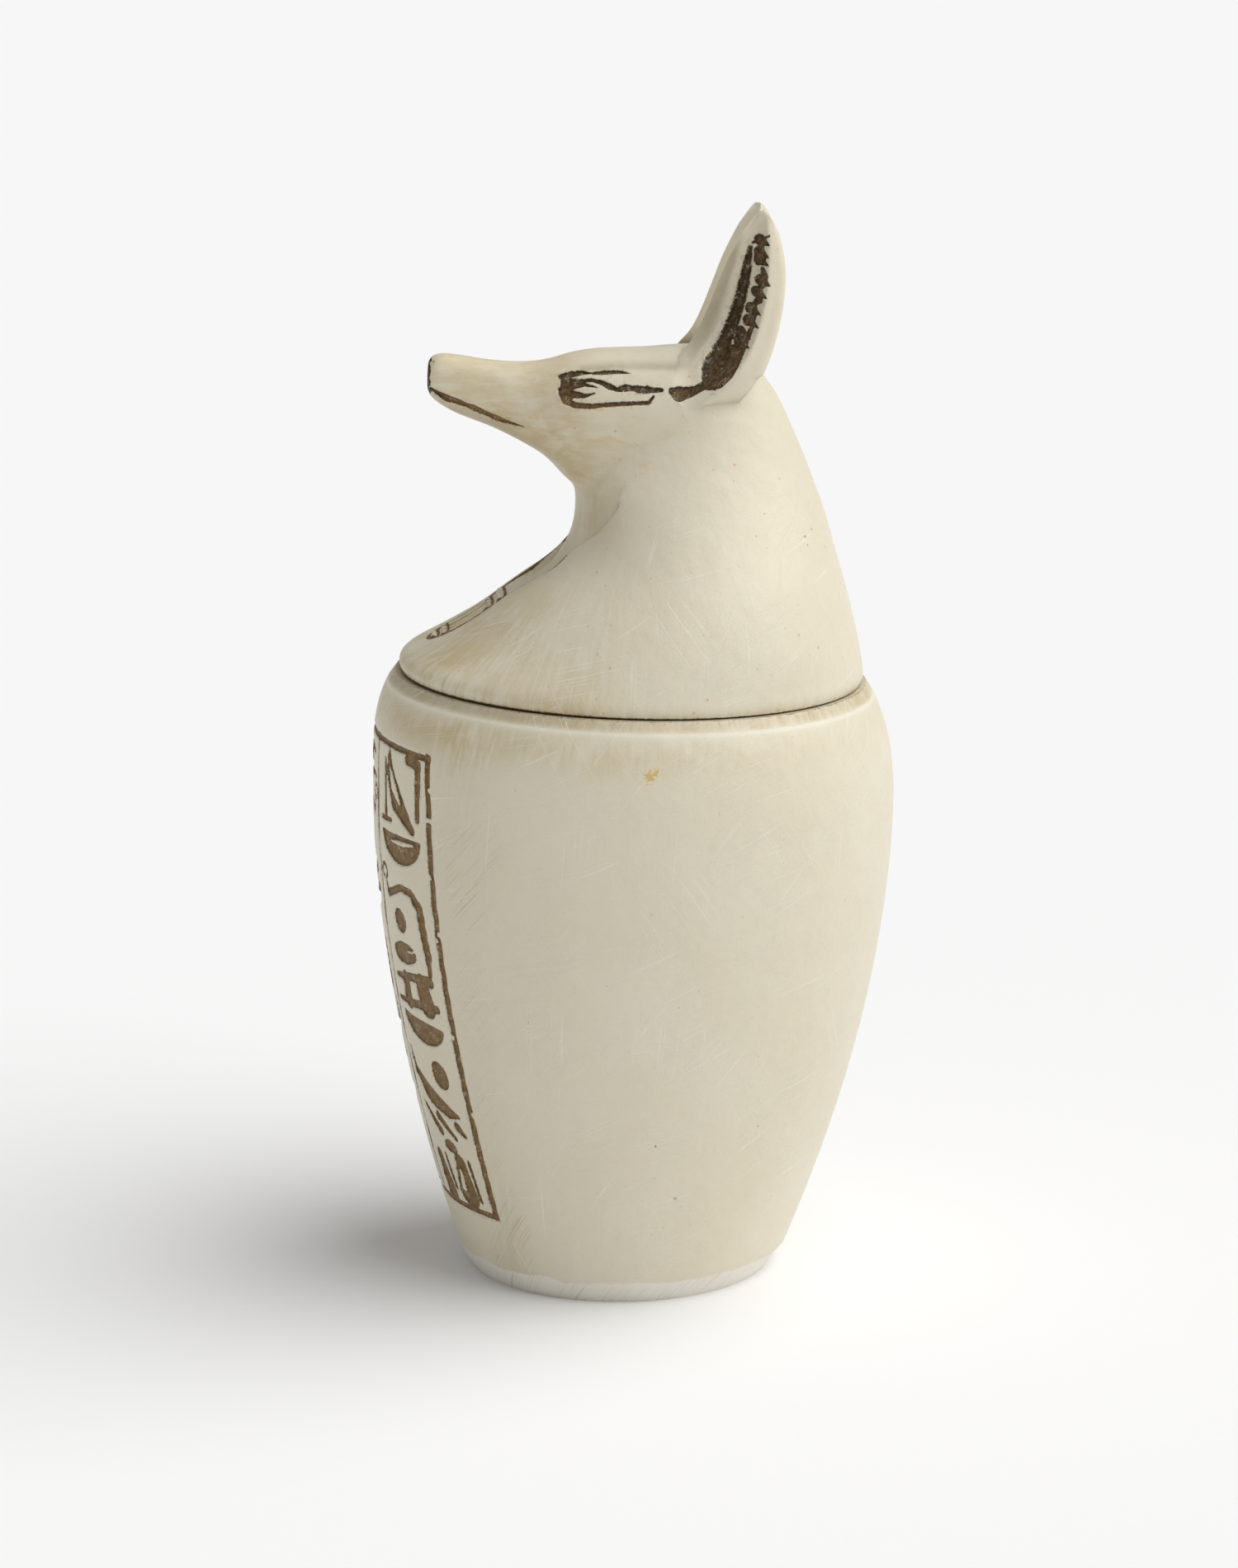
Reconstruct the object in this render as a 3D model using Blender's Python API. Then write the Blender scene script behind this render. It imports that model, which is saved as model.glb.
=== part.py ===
"""Canopic jar with a jackal-headed lid: a small cast copy, body and lift-off lid.

Metres, +Z up. The origin is the middle of the foot, on the ground. The jackal looks along -Y.
The foot was ground flat a little out of square, so the body and the lid lean back by LEAN_DEG.
Run with: blender --background --python part.py
"""
import math

import bmesh
import bpy
import numpy as np
from mathutils import Vector
from mathutils.bvhtree import BVHTree

MM = 0.001

# Body of the jar, turned round its leaning axis.
JAR_HEIGHT = 113.5 * MM
FOOT_RADIUS = 28.6 * MM
FOOT_CHAMFER_HEIGHT = 2.6 * MM
FOOT_CHAMFER_DEPTH = 1.6 * MM
SIDE_FOOT_RADIUS = 29.7 * MM
BELLY_RADIUS = 48.7 * MM
BELLY_HEIGHT = 90.0 * MM
LOWER_SWELL = 1.78
SHOULDER_ROUND = 3.2
RIDGE_RADIUS = 45.3 * MM
RIDGE_DROP = 2.1 * MM
RIM_RADIUS = 43.8 * MM
WALL = 7.0 * MM
FLOOR = 8.0 * MM
FLOOR_CORNER = 6.0 * MM
MOUTH_RADIUS = 34.0 * MM
NECK_LENGTH = 9.0 * MM
INNER_SHOULDER = 9.0 * MM
LEAN_DEG = 1.7
MIDDLE_BACK = 0.4 * MM
SHOULDER_FORWARD = 1.2 * MM
JAR_SEGMENTS = 48

# Lid: the seat, the plug and the bust over them.
LID_GAP = 0.3 * MM
PLUG_CLEARANCE = 1.6 * MM
PLUG_DEPTH = 6.0 * MM
PLUG_CHAMFER = 1.0 * MM
LID_RADIUS = 43.35 * MM
LID_HEIGHT = 87.6 * MM
SCULPT_VOXEL = 0.75 * MM
SMOOTH_PASSES = 10
SKIN_TRIANGLES = 2100
SEAT_SINK = 3.0 * MM
CARVING_DEPTH = 0.6 * MM
CARVING_STANDOFF = 1.5 * MM
CUP_REACH = 12.0 * MM
CUP_CLEARANCE = 0.08 * MM

# Sunk strip down the chest: where it starts and ends along the front, as shares of LID_RADIUS.
STRIP_HALF_WIDTH = 4.4 * MM
STRIP_DEPTH = 0.9 * MM
STRIP_FLARE = 3.5 * MM
STRIP_TOP = -0.340
STRIP_FOOT = -0.880
STRIP_START = 10.5 * MM
CHEST_SLOPE_DEG = 34.0

# Sunk panel on the front of the body, in degrees from the front and millimetres of height.
PANEL_TOP = 102.6 * MM
PANEL_BOTTOM = 14.7 * MM
PANEL_TOP_HALF_DEG = 38.2
PANEL_BOTTOM_HALF_DEG = 46.2
PANEL_SPREAD = 1.4
PANEL_COLUMNS = 3
BORDER_WIDTH = 1.3 * MM
DIVIDER_WIDTH = 0.8 * MM
CUT_DEPTH = 0.5 * MM
CUT_STANDOFF = 1.0 * MM
MARK_ROWS = 9
MARK_SHARE = 0.62

RESIN = (0.80, 0.74, 0.60, 1.0)
RESIN_ROUGHNESS = 0.38

# Bust, from the seat up: height as a share of LID_HEIGHT, then the front, the back and the half width
# as shares of LID_RADIUS.
BUST = (
    (-0.040, -0.985, 0.990, 0.990),
    (0.000, -0.990, 0.995, 0.995),
    (0.018, -1.000, 1.000, 1.000),
    (0.036, -0.972, 0.992, 0.992),
    (0.064, -0.868, 0.982, 0.978),
    (0.116, -0.692, 0.957, 0.942),
    (0.174, -0.540, 0.925, 0.885),
    (0.231, -0.383, 0.888, 0.810),
    (0.277, -0.300, 0.858, 0.735),
    (0.322, -0.268, 0.830, 0.660),
    (0.368, -0.262, 0.798, 0.590),
    (0.413, -0.262, 0.762, 0.530),
    (0.470, -0.200, 0.714, 0.465),
    (0.527, -0.100, 0.661, 0.410),
    (0.584, 0.030, 0.605, 0.355),
    (0.620, 0.130, 0.560, 0.300),
    (0.640, 0.220, 0.500, 0.220),
)
# Head, from the nose back: place as a share of LID_RADIUS, then the underside and the top as shares of
# LID_HEIGHT, and the half width as a share of LID_RADIUS.
HEAD = (
    (-0.900, 0.597, 0.645, 0.050),
    (-0.890, 0.581, 0.660, 0.080),
    (-0.850, 0.564, 0.670, 0.093),
    (-0.770, 0.543, 0.667, 0.102),
    (-0.617, 0.516, 0.657, 0.124),
    (-0.480, 0.484, 0.656, 0.160),
    (-0.385, 0.456, 0.663, 0.205),
    (-0.295, 0.410, 0.677, 0.250),
    (-0.200, 0.380, 0.686, 0.282),
    (-0.085, 0.370, 0.690, 0.305),
    (0.030, 0.370, 0.693, 0.322),
    (0.145, 0.380, 0.699, 0.335),
    (0.260, 0.400, 0.701, 0.340),
    (0.375, 0.430, 0.690, 0.330),
    (0.480, 0.470, 0.663, 0.295),
    (0.550, 0.510, 0.625, 0.230),
)
HEAD_SQUARENESS = 2.35
# Right ear, from the root to the tip: height as a share of LID_HEIGHT; then across and along, as shares
# of LID_RADIUS, for the cup's front edge, its rear lip and the back of the ear; then the cup's depth.
EAR = (
    (0.560, 0.230, 0.200, 0.270, 0.290, 0.230, 0.340, 0.000),
    (0.590, 0.326, 0.160, 0.340, 0.245, 0.300, 0.385, 0.002),
    (0.608, 0.320, 0.125, 0.356, 0.275, 0.330, 0.430, 0.018),
    (0.634, 0.294, 0.120, 0.364, 0.325, 0.335, 0.475, 0.036),
    (0.662, 0.246, 0.130, 0.360, 0.378, 0.325, 0.508, 0.053),
    (0.692, 0.158, 0.155, 0.348, 0.422, 0.308, 0.532, 0.066),
    (0.722, 0.098, 0.200, 0.334, 0.452, 0.292, 0.551, 0.073),
    (0.760, 0.092, 0.240, 0.316, 0.478, 0.276, 0.570, 0.076),
    (0.820, 0.102, 0.286, 0.290, 0.505, 0.252, 0.588, 0.072),
    (0.883, 0.120, 0.333, 0.258, 0.512, 0.226, 0.588, 0.058),
    (0.942, 0.140, 0.391, 0.218, 0.508, 0.198, 0.562, 0.036),
    (0.974, 0.152, 0.437, 0.188, 0.504, 0.180, 0.533, 0.016),
    (0.992, 0.160, 0.470, 0.172, 0.492, 0.172, 0.505, 0.004),
)
CUP_ROWS = slice(1, 9)
EAR_THICKNESS = 0.055
EAR_RIM = 0.042
EAR_CUP_POINTS = 7
EAR_BACK_POINTS = 2
EAR_ROW_STEPS = 1

# Carved strokes on the right side of the head: places along (shares of LID_RADIUS) and up (shares of
# LID_HEIGHT), and the width of the stroke.
BROW = ((-0.322, 0.639), (-0.262, 0.648), (-0.190, 0.654), (-0.092, 0.654))
UPPER_LID = ((-0.268, 0.636), (-0.190, 0.636), (-0.120, 0.624), (0.085, 0.624))
LOWER_LID = ((-0.316, 0.592), (-0.256, 0.585), (-0.180, 0.588), (-0.070, 0.594), (0.040, 0.597))
EYE_CORNER = ((-0.322, 0.630), (-0.322, 0.603))
UPPER_RAY = ((-0.292, 0.620), (-0.200, 0.616))
MOUTH = ((-0.884, 0.590), (-0.835, 0.584), (-0.740, 0.571), (-0.640, 0.556), (-0.560, 0.540), (-0.490, 0.527))
SIDE_STROKES = (
    (BROW, 1.0 * MM), (UPPER_LID, 0.9 * MM), (LOWER_LID, 0.8 * MM),
    (EYE_CORNER, 1.6 * MM), (UPPER_RAY, 0.8 * MM), (MOUTH, 0.8 * MM),
)


def clear_scene():
    for obj in list(bpy.data.objects):
        bpy.data.objects.remove(obj)


def resin(name):
    """Ivory-coloured cast resin."""
    material = bpy.data.materials.new(name)
    material.use_nodes = True
    shader = material.node_tree.nodes["Principled BSDF"]
    shader.inputs["Base Color"].default_value = RESIN
    shader.inputs["Roughness"].default_value = RESIN_ROUGHNESS
    shader.inputs["Metallic"].default_value = 0.0
    return material


def new_object(name, bm, material=None, smooth=True):
    """A named object from a bmesh, with its faces pointing out."""
    bmesh.ops.recalc_face_normals(bm, faces=bm.faces)
    mesh = bpy.data.meshes.new(name)
    bm.to_mesh(mesh)
    bm.free()
    if smooth:
        mesh.shade_smooth()
    if material:
        mesh.materials.append(material)
    obj = bpy.data.objects.new(name, mesh)
    bpy.context.scene.collection.objects.link(obj)
    return obj


def hide_helper(obj):
    obj.hide_render = True
    obj.display_type = "WIRE"


def turned(name, profile, segments, material=None):
    """A solid turned round Z from an open profile of (radius, height) that starts and ends on the axis."""
    bm = bmesh.new()
    verts = [bm.verts.new((radius, 0.0, height)) for radius, height in profile]
    edges = [bm.edges.new(pair) for pair in zip(verts, verts[1:])]
    bmesh.ops.spin(
        bm, geom=verts + edges, axis=(0, 0, 1), cent=(0, 0, 0),
        angle=2 * math.pi, steps=segments, use_merge=True,
    )
    bmesh.ops.remove_doubles(bm, verts=bm.verts, dist=0.00001)
    bmesh.ops.dissolve_degenerate(bm, edges=bm.edges, dist=0.000001)
    return new_object(name, bm, material)


def loft(bm, rings):
    """A closed skin through rings that have the same number of points, with a flat cap at each end."""
    rows = [[bm.verts.new(point) for point in ring] for ring in rings]
    count = len(rows[0])
    for low, high in zip(rows, rows[1:]):
        for i in range(count):
            j = (i + 1) % count
            bm.faces.new((low[i], low[j], high[j], high[i]))
    bm.faces.new(list(reversed(rows[0])))
    bm.faces.new(rows[-1])


def eased(stations, steps):
    """Rows between the stations, read from a Catmull-Rom curve through them."""
    rows = np.array([stations[0], *stations, stations[-1]], float)
    found = []
    for a, b, c, d in zip(rows, rows[1:], rows[2:], rows[3:]):
        for t in np.arange(steps) / steps:
            found.append(
                0.5 * (2 * b + (c - a) * t + (2 * a - 5 * b + 4 * c - d) * t**2
                       + (3 * b - a - 3 * c + d) * t**3)
            )
    found.append(rows[-1])
    return found


def side_radius(height):
    """Outer radius of the body at a height up its axis, from below the foot to the ridge."""
    if height < BELLY_HEIGHT:
        share = (BELLY_HEIGHT - height) / BELLY_HEIGHT
        return BELLY_RADIUS - (BELLY_RADIUS - SIDE_FOOT_RADIUS) * share**LOWER_SWELL
    ridge = JAR_HEIGHT - RIDGE_DROP
    share = min(1.0, (height - BELLY_HEIGHT) / (ridge - BELLY_HEIGHT))
    return BELLY_RADIUS - (BELLY_RADIUS - RIDGE_RADIUS) * share**SHOULDER_ROUND


def bow(height):
    """How far back the body's middle lies at a height: it bows back at the waist and forward at the rim."""
    if height < BELLY_HEIGHT:
        return MIDDLE_BACK * math.sin(math.pi * max(0.0, height) / BELLY_HEIGHT)
    share = min(1.0, (height - BELLY_HEIGHT) / (JAR_HEIGHT - BELLY_HEIGHT))
    return -SHOULDER_FORWARD * share * share * (3 - 2 * share)


def body_profile():
    """Outline of half the body, from the middle of the underside round the rim to the middle of the floor."""
    below = -3.0 * MM
    ridge = JAR_HEIGHT - RIDGE_DROP
    outer = [(0.0, below)]
    outer += [(side_radius(h), h) for h in np.linspace(below, BELLY_HEIGHT, 13)]
    outer += [(side_radius(h), h) for h in np.linspace(BELLY_HEIGHT, ridge, 8)[1:]]
    outer += [(RIM_RADIUS, JAR_HEIGHT), (MOUTH_RADIUS, JAR_HEIGHT)]
    neck_foot = JAR_HEIGHT - NECK_LENGTH
    shoulder = neck_foot - INNER_SHOULDER
    wide = side_radius(shoulder) - WALL
    inner = []
    for turn in np.linspace(0, math.pi / 2, 4):
        inner.append((
            wide - (wide - MOUTH_RADIUS) * math.cos(turn),
            neck_foot - INNER_SHOULDER * math.sin(turn),
        ))
    corner = FLOOR + FLOOR_CORNER
    for h in np.linspace(shoulder, corner, 6)[1:]:
        inner.append((side_radius(h) - WALL, h))
    foot_wide = side_radius(corner) - WALL
    for turn in np.linspace(0, math.pi / 2, 4)[1:]:
        inner.append((
            foot_wide - FLOOR_CORNER * (1 - math.cos(turn)),
            corner - FLOOR_CORNER * math.sin(turn),
        ))
    return outer + inner + [(0.0, FLOOR)]


def foot_envelope():
    """Everything above the ground and inside the chamfer that was ground round the foot."""
    wide = 2 * BELLY_RADIUS
    slope = FOOT_CHAMFER_DEPTH / FOOT_CHAMFER_HEIGHT
    flare = FOOT_CHAMFER_HEIGHT + 2 * MM
    profile = (
        (0.0, 0.0), (FOOT_RADIUS, 0.0), (FOOT_RADIUS + slope * flare, flare),
        (wide, flare), (wide, 2 * JAR_HEIGHT), (0.0, 2 * JAR_HEIGHT),
    )
    return turned("foot_envelope", profile, JAR_SEGMENTS)


def panel_half_angle(height):
    """Half the width of the panel, as an angle from the front, at a height."""
    share = (PANEL_TOP - height) / (PANEL_TOP - PANEL_BOTTOM)
    widening = max(0.0, share) ** PANEL_SPREAD * (PANEL_BOTTOM_HALF_DEG - PANEL_TOP_HALF_DEG)
    return math.radians(PANEL_TOP_HALF_DEG + widening)


def on_body(across, height, standoff):
    """A point near the body's outside: across is metres along the surface from the middle of the panel."""
    radius = side_radius(height)
    angle = across / radius
    reach = radius + standoff
    return (reach * math.sin(angle), bow(height) - reach * math.cos(angle), height)


def add_cut(bm, outline):
    """A shallow cutter over an outline of (across, height) points, bent to the body."""
    outside = [bm.verts.new(on_body(s, h, CUT_STANDOFF)) for s, h in outline]
    inside = [bm.verts.new(on_body(s, h, -CUT_DEPTH)) for s, h in outline]
    bm.faces.new(outside)
    bm.faces.new(list(reversed(inside)))
    for i in range(len(outline)):
        j = (i + 1) % len(outline)
        bm.faces.new((outside[j], outside[i], inside[i], inside[j]))


def add_band(bm, left, right):
    """A shallow cutter between two rows of (across, height) points."""
    rings = [
        (on_body(*a, CUT_STANDOFF), on_body(*b, CUT_STANDOFF), on_body(*b, -CUT_DEPTH), on_body(*a, -CUT_DEPTH))
        for a, b in zip(left, right)
    ]
    loft(bm, rings)


def column_edge(share, height):
    """Distance across the panel, from its middle, of a line at a share of its half width."""
    return share * panel_half_angle(height) * side_radius(height)


def upright_cutter():
    """The lines between the columns and down both sides."""
    bm = bmesh.new()
    heights = np.linspace(PANEL_BOTTOM, PANEL_TOP, 13)
    for line in range(PANEL_COLUMNS + 1):
        share = 2 * line / PANEL_COLUMNS - 1
        outermost = line in (0, PANEL_COLUMNS)
        half = (BORDER_WIDTH if outermost else DIVIDER_WIDTH) / 2
        left = [(column_edge(share, h) - half, h) for h in heights]
        right = [(column_edge(share, h) + half, h) for h in heights]
        add_band(bm, left, right)
    return new_object("upright_cutter", bm, smooth=False)


def level_cutter():
    """The lines along the top and the bottom of the panel."""
    bm = bmesh.new()
    for middle in (PANEL_BOTTOM, PANEL_TOP):
        reach = column_edge(1, middle) + BORDER_WIDTH / 2
        places = np.linspace(-reach, reach, 15)
        add_band(
            bm,
            [(s, middle - BORDER_WIDTH / 2) for s in places],
            [(s, middle + BORDER_WIDTH / 2) for s in places],
        )
    return new_object("level_cutter", bm, smooth=False)


def disc(width, height):
    return [(0.5 * width * math.cos(a), 0.5 * height * math.sin(a)) for a in np.arange(8) * math.tau / 8]


def bowl(width, height):
    """Half a disc, flat side up."""
    arc = [(0.5 * width * math.cos(a), height * (0.5 + math.sin(a))) for a in np.linspace(math.pi, math.tau, 7)]
    return arc


def bar(width, height):
    return [(-width / 2, -height / 2), (width / 2, -height / 2), (width / 2, height / 2), (-width / 2, height / 2)]


def leaf(width, height):
    """A slanting lens."""
    half = [(0.28 * math.sin(math.pi * t), t - 0.5) for t in np.linspace(0, 1, 5)]
    lens = half + [(-s, h) for s, h in reversed(half[1:-1])]
    return [(width * (s + 0.45 * h), height * h) for s, h in lens]


def marks_in_cell(kind, width, height):
    """Outlines of one group of strokes, round the middle of its cell. None of them is a letter."""
    if kind == "disc":
        return [disc(0.42 * width, 0.62 * height)]
    if kind == "bowl":
        return [bowl(0.9 * width, 0.62 * height)]
    if kind == "bars":
        return [[(s, h + k * height) for s, h in bar(0.8 * width, 0.16 * height)] for k in (-0.3, 0.0, 0.3)]
    if kind == "posts":
        return [[(s + k * width, h) for s, h in bar(0.16 * width, 0.8 * height)] for k in (-0.32, 0.0, 0.32)]
    if kind == "leaf":
        return [leaf(0.8 * width, 0.95 * height)]
    dot = [(s - 0.28 * width, h) for s, h in disc(0.26 * width, 0.4 * height)]
    post = [(s + 0.22 * width, h) for s, h in bar(0.2 * width, 0.85 * height)]
    return [dot, post]


def mark_cutter():
    """Rows of short strokes in each column."""
    kinds = ("leaf", "bowl", "dot_and_post", "disc", "bars", "bowl", "leaf", "disc", "posts")
    bm = bmesh.new()
    inset = BORDER_WIDTH
    pitch = (PANEL_TOP - PANEL_BOTTOM - 2 * inset) / MARK_ROWS
    for column in range(PANEL_COLUMNS):
        share = (2 * column + 1) / PANEL_COLUMNS - 1
        for row in range(MARK_ROWS):
            height = PANEL_TOP - inset - (row + 0.5) * pitch
            middle = column_edge(share, height)
            width = MARK_SHARE * 2 * column_edge(1, height) / PANEL_COLUMNS
            kind = kinds[(row + 4 * column) % len(kinds)]
            for outline in marks_in_cell(kind, width, 0.8 * pitch):
                add_cut(bm, [(middle + s, height + h) for s, h in outline])
    return new_object("mark_cutter", bm, smooth=False)


def cut_with(obj, cutter, operation="DIFFERENCE"):
    modifier = obj.modifiers.new(cutter.name, "BOOLEAN")
    modifier.operation = operation
    modifier.solver = "EXACT"
    modifier.object = cutter
    hide_helper(cutter)


def bust_rings():
    """Level rings of the shoulders and neck, in the lid's own frame."""
    rings = []
    turns = np.arange(96) * math.tau / 96
    for height, front, back, half in eased(BUST, 3):
        middle = 0.5 * (front + back)
        reach = 0.5 * (back - front)
        rings.append([
            (LID_RADIUS * half * math.sin(t), LID_RADIUS * (middle - reach * math.cos(t)), LID_HEIGHT * height)
            for t in turns
        ])
    return rings


def squared(value):
    """A cosine or sine drawn out towards the corners of a superellipse."""
    return math.copysign(abs(value) ** (2 / HEAD_SQUARENESS), value)


def head_rings():
    """Upright rings of the head, from the nose back."""
    rings = []
    turns = np.arange(56) * math.tau / 56
    for place, low, high, half in eased(HEAD, 3):
        middle = 0.5 * (low + high)
        reach = 0.5 * (high - low)
        rings.append([
            (
                LID_RADIUS * half * squared(math.cos(t)),
                LID_RADIUS * place,
                LID_HEIGHT * (middle + reach * squared(math.sin(t))),
            )
            for t in turns
        ])
    return rings


def ear_section(row):
    """One level slice of the right ear: the cup from its front edge to its lip, and the back of the ear."""
    front, lip, back = (np.array(row[i:i + 2]) for i in (1, 3, 5))
    chord = lip - front
    outward = np.array((chord[1], -chord[0])) / np.hypot(*chord)
    shares = np.linspace(0, 1, EAR_CUP_POINTS)[:, None]
    cup = front + shares * chord - row[7] * np.sin(math.pi * shares**0.85) * outward
    crest = 0.6 * lip + 0.4 * back + 0.012 * outward
    middle = 0.5 * (front + back) - (row[7] + EAR_THICKNESS) * outward
    rim = front - EAR_RIM * outward + 0.3 * EAR_RIM * chord / np.hypot(*chord)
    rear = eased((lip, crest, back, middle, rim, front), EAR_BACK_POINTS)[1:-1]
    return cup, np.array(rear), outward


def ear_rings(side):
    """Level rings of one ear. side is 1 for the right ear and -1 for the left."""
    rings = []
    for row in eased(EAR, EAR_ROW_STEPS):
        cup, rear, _ = ear_section(row)
        rings.append([(side * LID_RADIUS * x, LID_RADIUS * y, LID_HEIGHT * row[0]) for x, y in (*cup, *rear)])
    return rings


def cup_rings(side):
    """Level rings of what the ear's cup leaves empty, out past the side of the head."""
    rings = []
    for row in eased(EAR[CUP_ROWS], EAR_ROW_STEPS):
        cup, _, outward = ear_section(row)
        cup = cup + outward * CUP_CLEARANCE / LID_RADIUS
        outside = cup[::-1] + outward * CUP_REACH / LID_RADIUS
        rings.append([(side * LID_RADIUS * x, LID_RADIUS * y, LID_HEIGHT * row[0]) for x, y in (*cup, *outside)])
    return rings


def applied(obj):
    """A copy of the object's mesh with its modifiers applied."""
    graph = bpy.context.evaluated_depsgraph_get()
    return bpy.data.meshes.new_from_object(obj.evaluated_get(graph))


def fused(obj, voxel, passes):
    """Fuses overlapping shells into one skin and softens the seams."""
    remesh = obj.modifiers.new("fuse", "REMESH")
    remesh.mode = "VOXEL"
    remesh.voxel_size = voxel
    soften = obj.modifiers.new("soften", "SMOOTH")
    soften.factor = 0.5
    soften.iterations = passes
    mesh = applied(obj)
    obj.modifiers.clear()
    obj.data = mesh
    return obj


def opening_depth(points):
    """How far the throat lies under the cape's edge, a V that closes at the foot of the chest."""
    across = np.abs(points[:, 0]) / LID_RADIUS
    along = points[:, 1] / LID_RADIUS
    height = points[:, 2] / LID_HEIGHT
    rise = np.clip((height - 0.055) / 0.33, 0, 1)
    edge = 0.10 + 0.33 * rise**1.6
    inside = np.clip((edge - across) / 0.030, 0, 1)
    fade_top = np.clip((0.45 - height) / 0.08, 0, 1)
    fade_foot = np.clip((height - 0.20) / 0.06, 0, 1)
    facing = np.clip((0.05 - along) / 0.08, 0, 1)
    fall = np.clip(across / edge, 0, 1) ** 2
    return (0.15 + 1.1 * fall) * MM * inside * fade_top * fade_foot * facing


def carve_opening(mesh):
    """Sinks the V-shaped opening of the cape into the skin."""
    count = len(mesh.vertices)
    points = np.empty(count * 3, np.float32)
    normals = np.empty(count * 3, np.float32)
    mesh.vertices.foreach_get("co", points)
    mesh.vertex_normals.foreach_get("vector", normals)
    points, normals = points.reshape(-1, 3), normals.reshape(-1, 3)
    moved = points - normals * opening_depth(points)[:, None]
    mesh.vertices.foreach_set("co", moved.astype(np.float32).ravel())
    mesh.update()


def skin_tree(mesh):
    """A search tree over the skin, for laying cutters on it."""
    return BVHTree.FromPolygons([v.co for v in mesh.vertices], [p.vertices for p in mesh.polygons])


def dropped(tree, start, aim):
    """Where a start meets the skin along the aim, or the nearest skin where it would pass by."""
    return tree.ray_cast(start, aim)[0] or tree.find_nearest(start)[0]


def drape(bm, tree, starts, aim, depth):
    """A cutter whose outline follows the skin: each start is dropped on it along the aim."""
    found = [dropped(tree, start, aim) for start in starts]
    outside = [bm.verts.new(point - aim * CARVING_STANDOFF) for point in found]
    inside = [bm.verts.new(point + aim * depth) for point in found]
    bm.faces.new(outside)
    bm.faces.new(list(reversed(inside)))
    for i in range(len(found)):
        j = (i + 1) % len(found)
        bm.faces.new((outside[j], outside[i], inside[i], inside[j]))


def stroke_outline(points, width):
    """The outline of a stroke of a given width along (along, up) points, in metres."""
    line = np.array([(LID_RADIUS * y, LID_HEIGHT * z) for y, z in points])
    run = np.gradient(line, axis=0)
    side = np.stack((-run[:, 1], run[:, 0]), axis=1) / np.hypot(run[:, 0], run[:, 1])[:, None]
    return np.concatenate((line + side * width / 2, (line - side * width / 2)[::-1]))


def face_cutters(tree):
    """One cutter for each stroke of the eyes, brows and mouth, on both sides of the head."""
    cutters = []
    for side in (1, -1):
        aim = Vector((-side, 0, 0))
        for points, width in SIDE_STROKES:
            bm = bmesh.new()
            outline = stroke_outline(points, width)
            drape(bm, tree, [Vector((side * LID_RADIUS, y, z)) for y, z in outline], aim, CARVING_DEPTH)
            cutters.append(new_object("face_cutter", bm, smooth=False))
    return cutters


def strip_cutter(tree):
    """The sunk strip down the middle of the chest, round at its foot."""
    slope = math.radians(CHEST_SLOPE_DEG)
    aim = Vector((0, math.sin(slope), -math.cos(slope)))
    length = (STRIP_TOP - STRIP_FOOT) * LID_RADIUS
    rings = []
    for along in STRIP_HALF_WIDTH * np.array((0.02, 0.12, 0.3, 0.6, 1.0)):
        half = math.sqrt(STRIP_HALF_WIDTH**2 - (STRIP_HALF_WIDTH - along) ** 2)
        rings.append(strip_rung(tree, aim, half, along, slope))
    for share in np.linspace(0, 1, 8)[1:]:
        along = STRIP_HALF_WIDTH + share * (length - STRIP_HALF_WIDTH)
        rings.append(strip_rung(tree, aim, STRIP_HALF_WIDTH + STRIP_FLARE * share**3, along, slope))
    bm = bmesh.new()
    loft(bm, rings)
    return new_object("strip_cutter", bm, smooth=False)


def strip_rung(tree, aim, half, along, slope):
    """One cross slice of the strip's cutter, at a distance up the chest from the strip's foot."""
    found = []
    for across in (-half, 0.0, half):
        place = Vector((across, STRIP_FOOT * LID_RADIUS + along, along * math.tan(slope) + STRIP_START))
        found.append(dropped(tree, place - aim * CARVING_STANDOFF, aim))
    outside = [point - aim * CARVING_STANDOFF for point in found]
    inside = [point + aim * STRIP_DEPTH for point in reversed(found)]
    return outside + inside


def cup_cutter(side):
    bm = bmesh.new()
    loft(bm, cup_rings(side))
    return new_object("cup_cutter", bm, smooth=False)


def plug_profile():
    """The plug under the lid, up into the bust."""
    radius = MOUTH_RADIUS - PLUG_CLEARANCE
    return (
        (0.0, -PLUG_DEPTH), (radius - PLUG_CHAMFER, -PLUG_DEPTH), (radius, PLUG_CHAMFER - PLUG_DEPTH),
        (radius, SEAT_SINK), (0.0, SEAT_SINK),
    )


def flat_seat(mesh):
    """Cuts the skin off flat at the seat and closes it."""
    bm = bmesh.new()
    bm.from_mesh(mesh)
    cut = bmesh.ops.bisect_plane(
        bm, geom=bm.verts[:] + bm.edges[:] + bm.faces[:], dist=0.000001,
        plane_co=(0, 0, 0), plane_no=(0, 0, -1), clear_outer=True,
    )
    rim = [g for g in cut["geom_cut"] if isinstance(g, bmesh.types.BMEdge)]
    bmesh.ops.triangle_fill(bm, edges=rim, use_beauty=True)
    bmesh.ops.recalc_face_normals(bm, faces=bm.faces)
    bm.to_mesh(mesh)
    bm.free()


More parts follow.
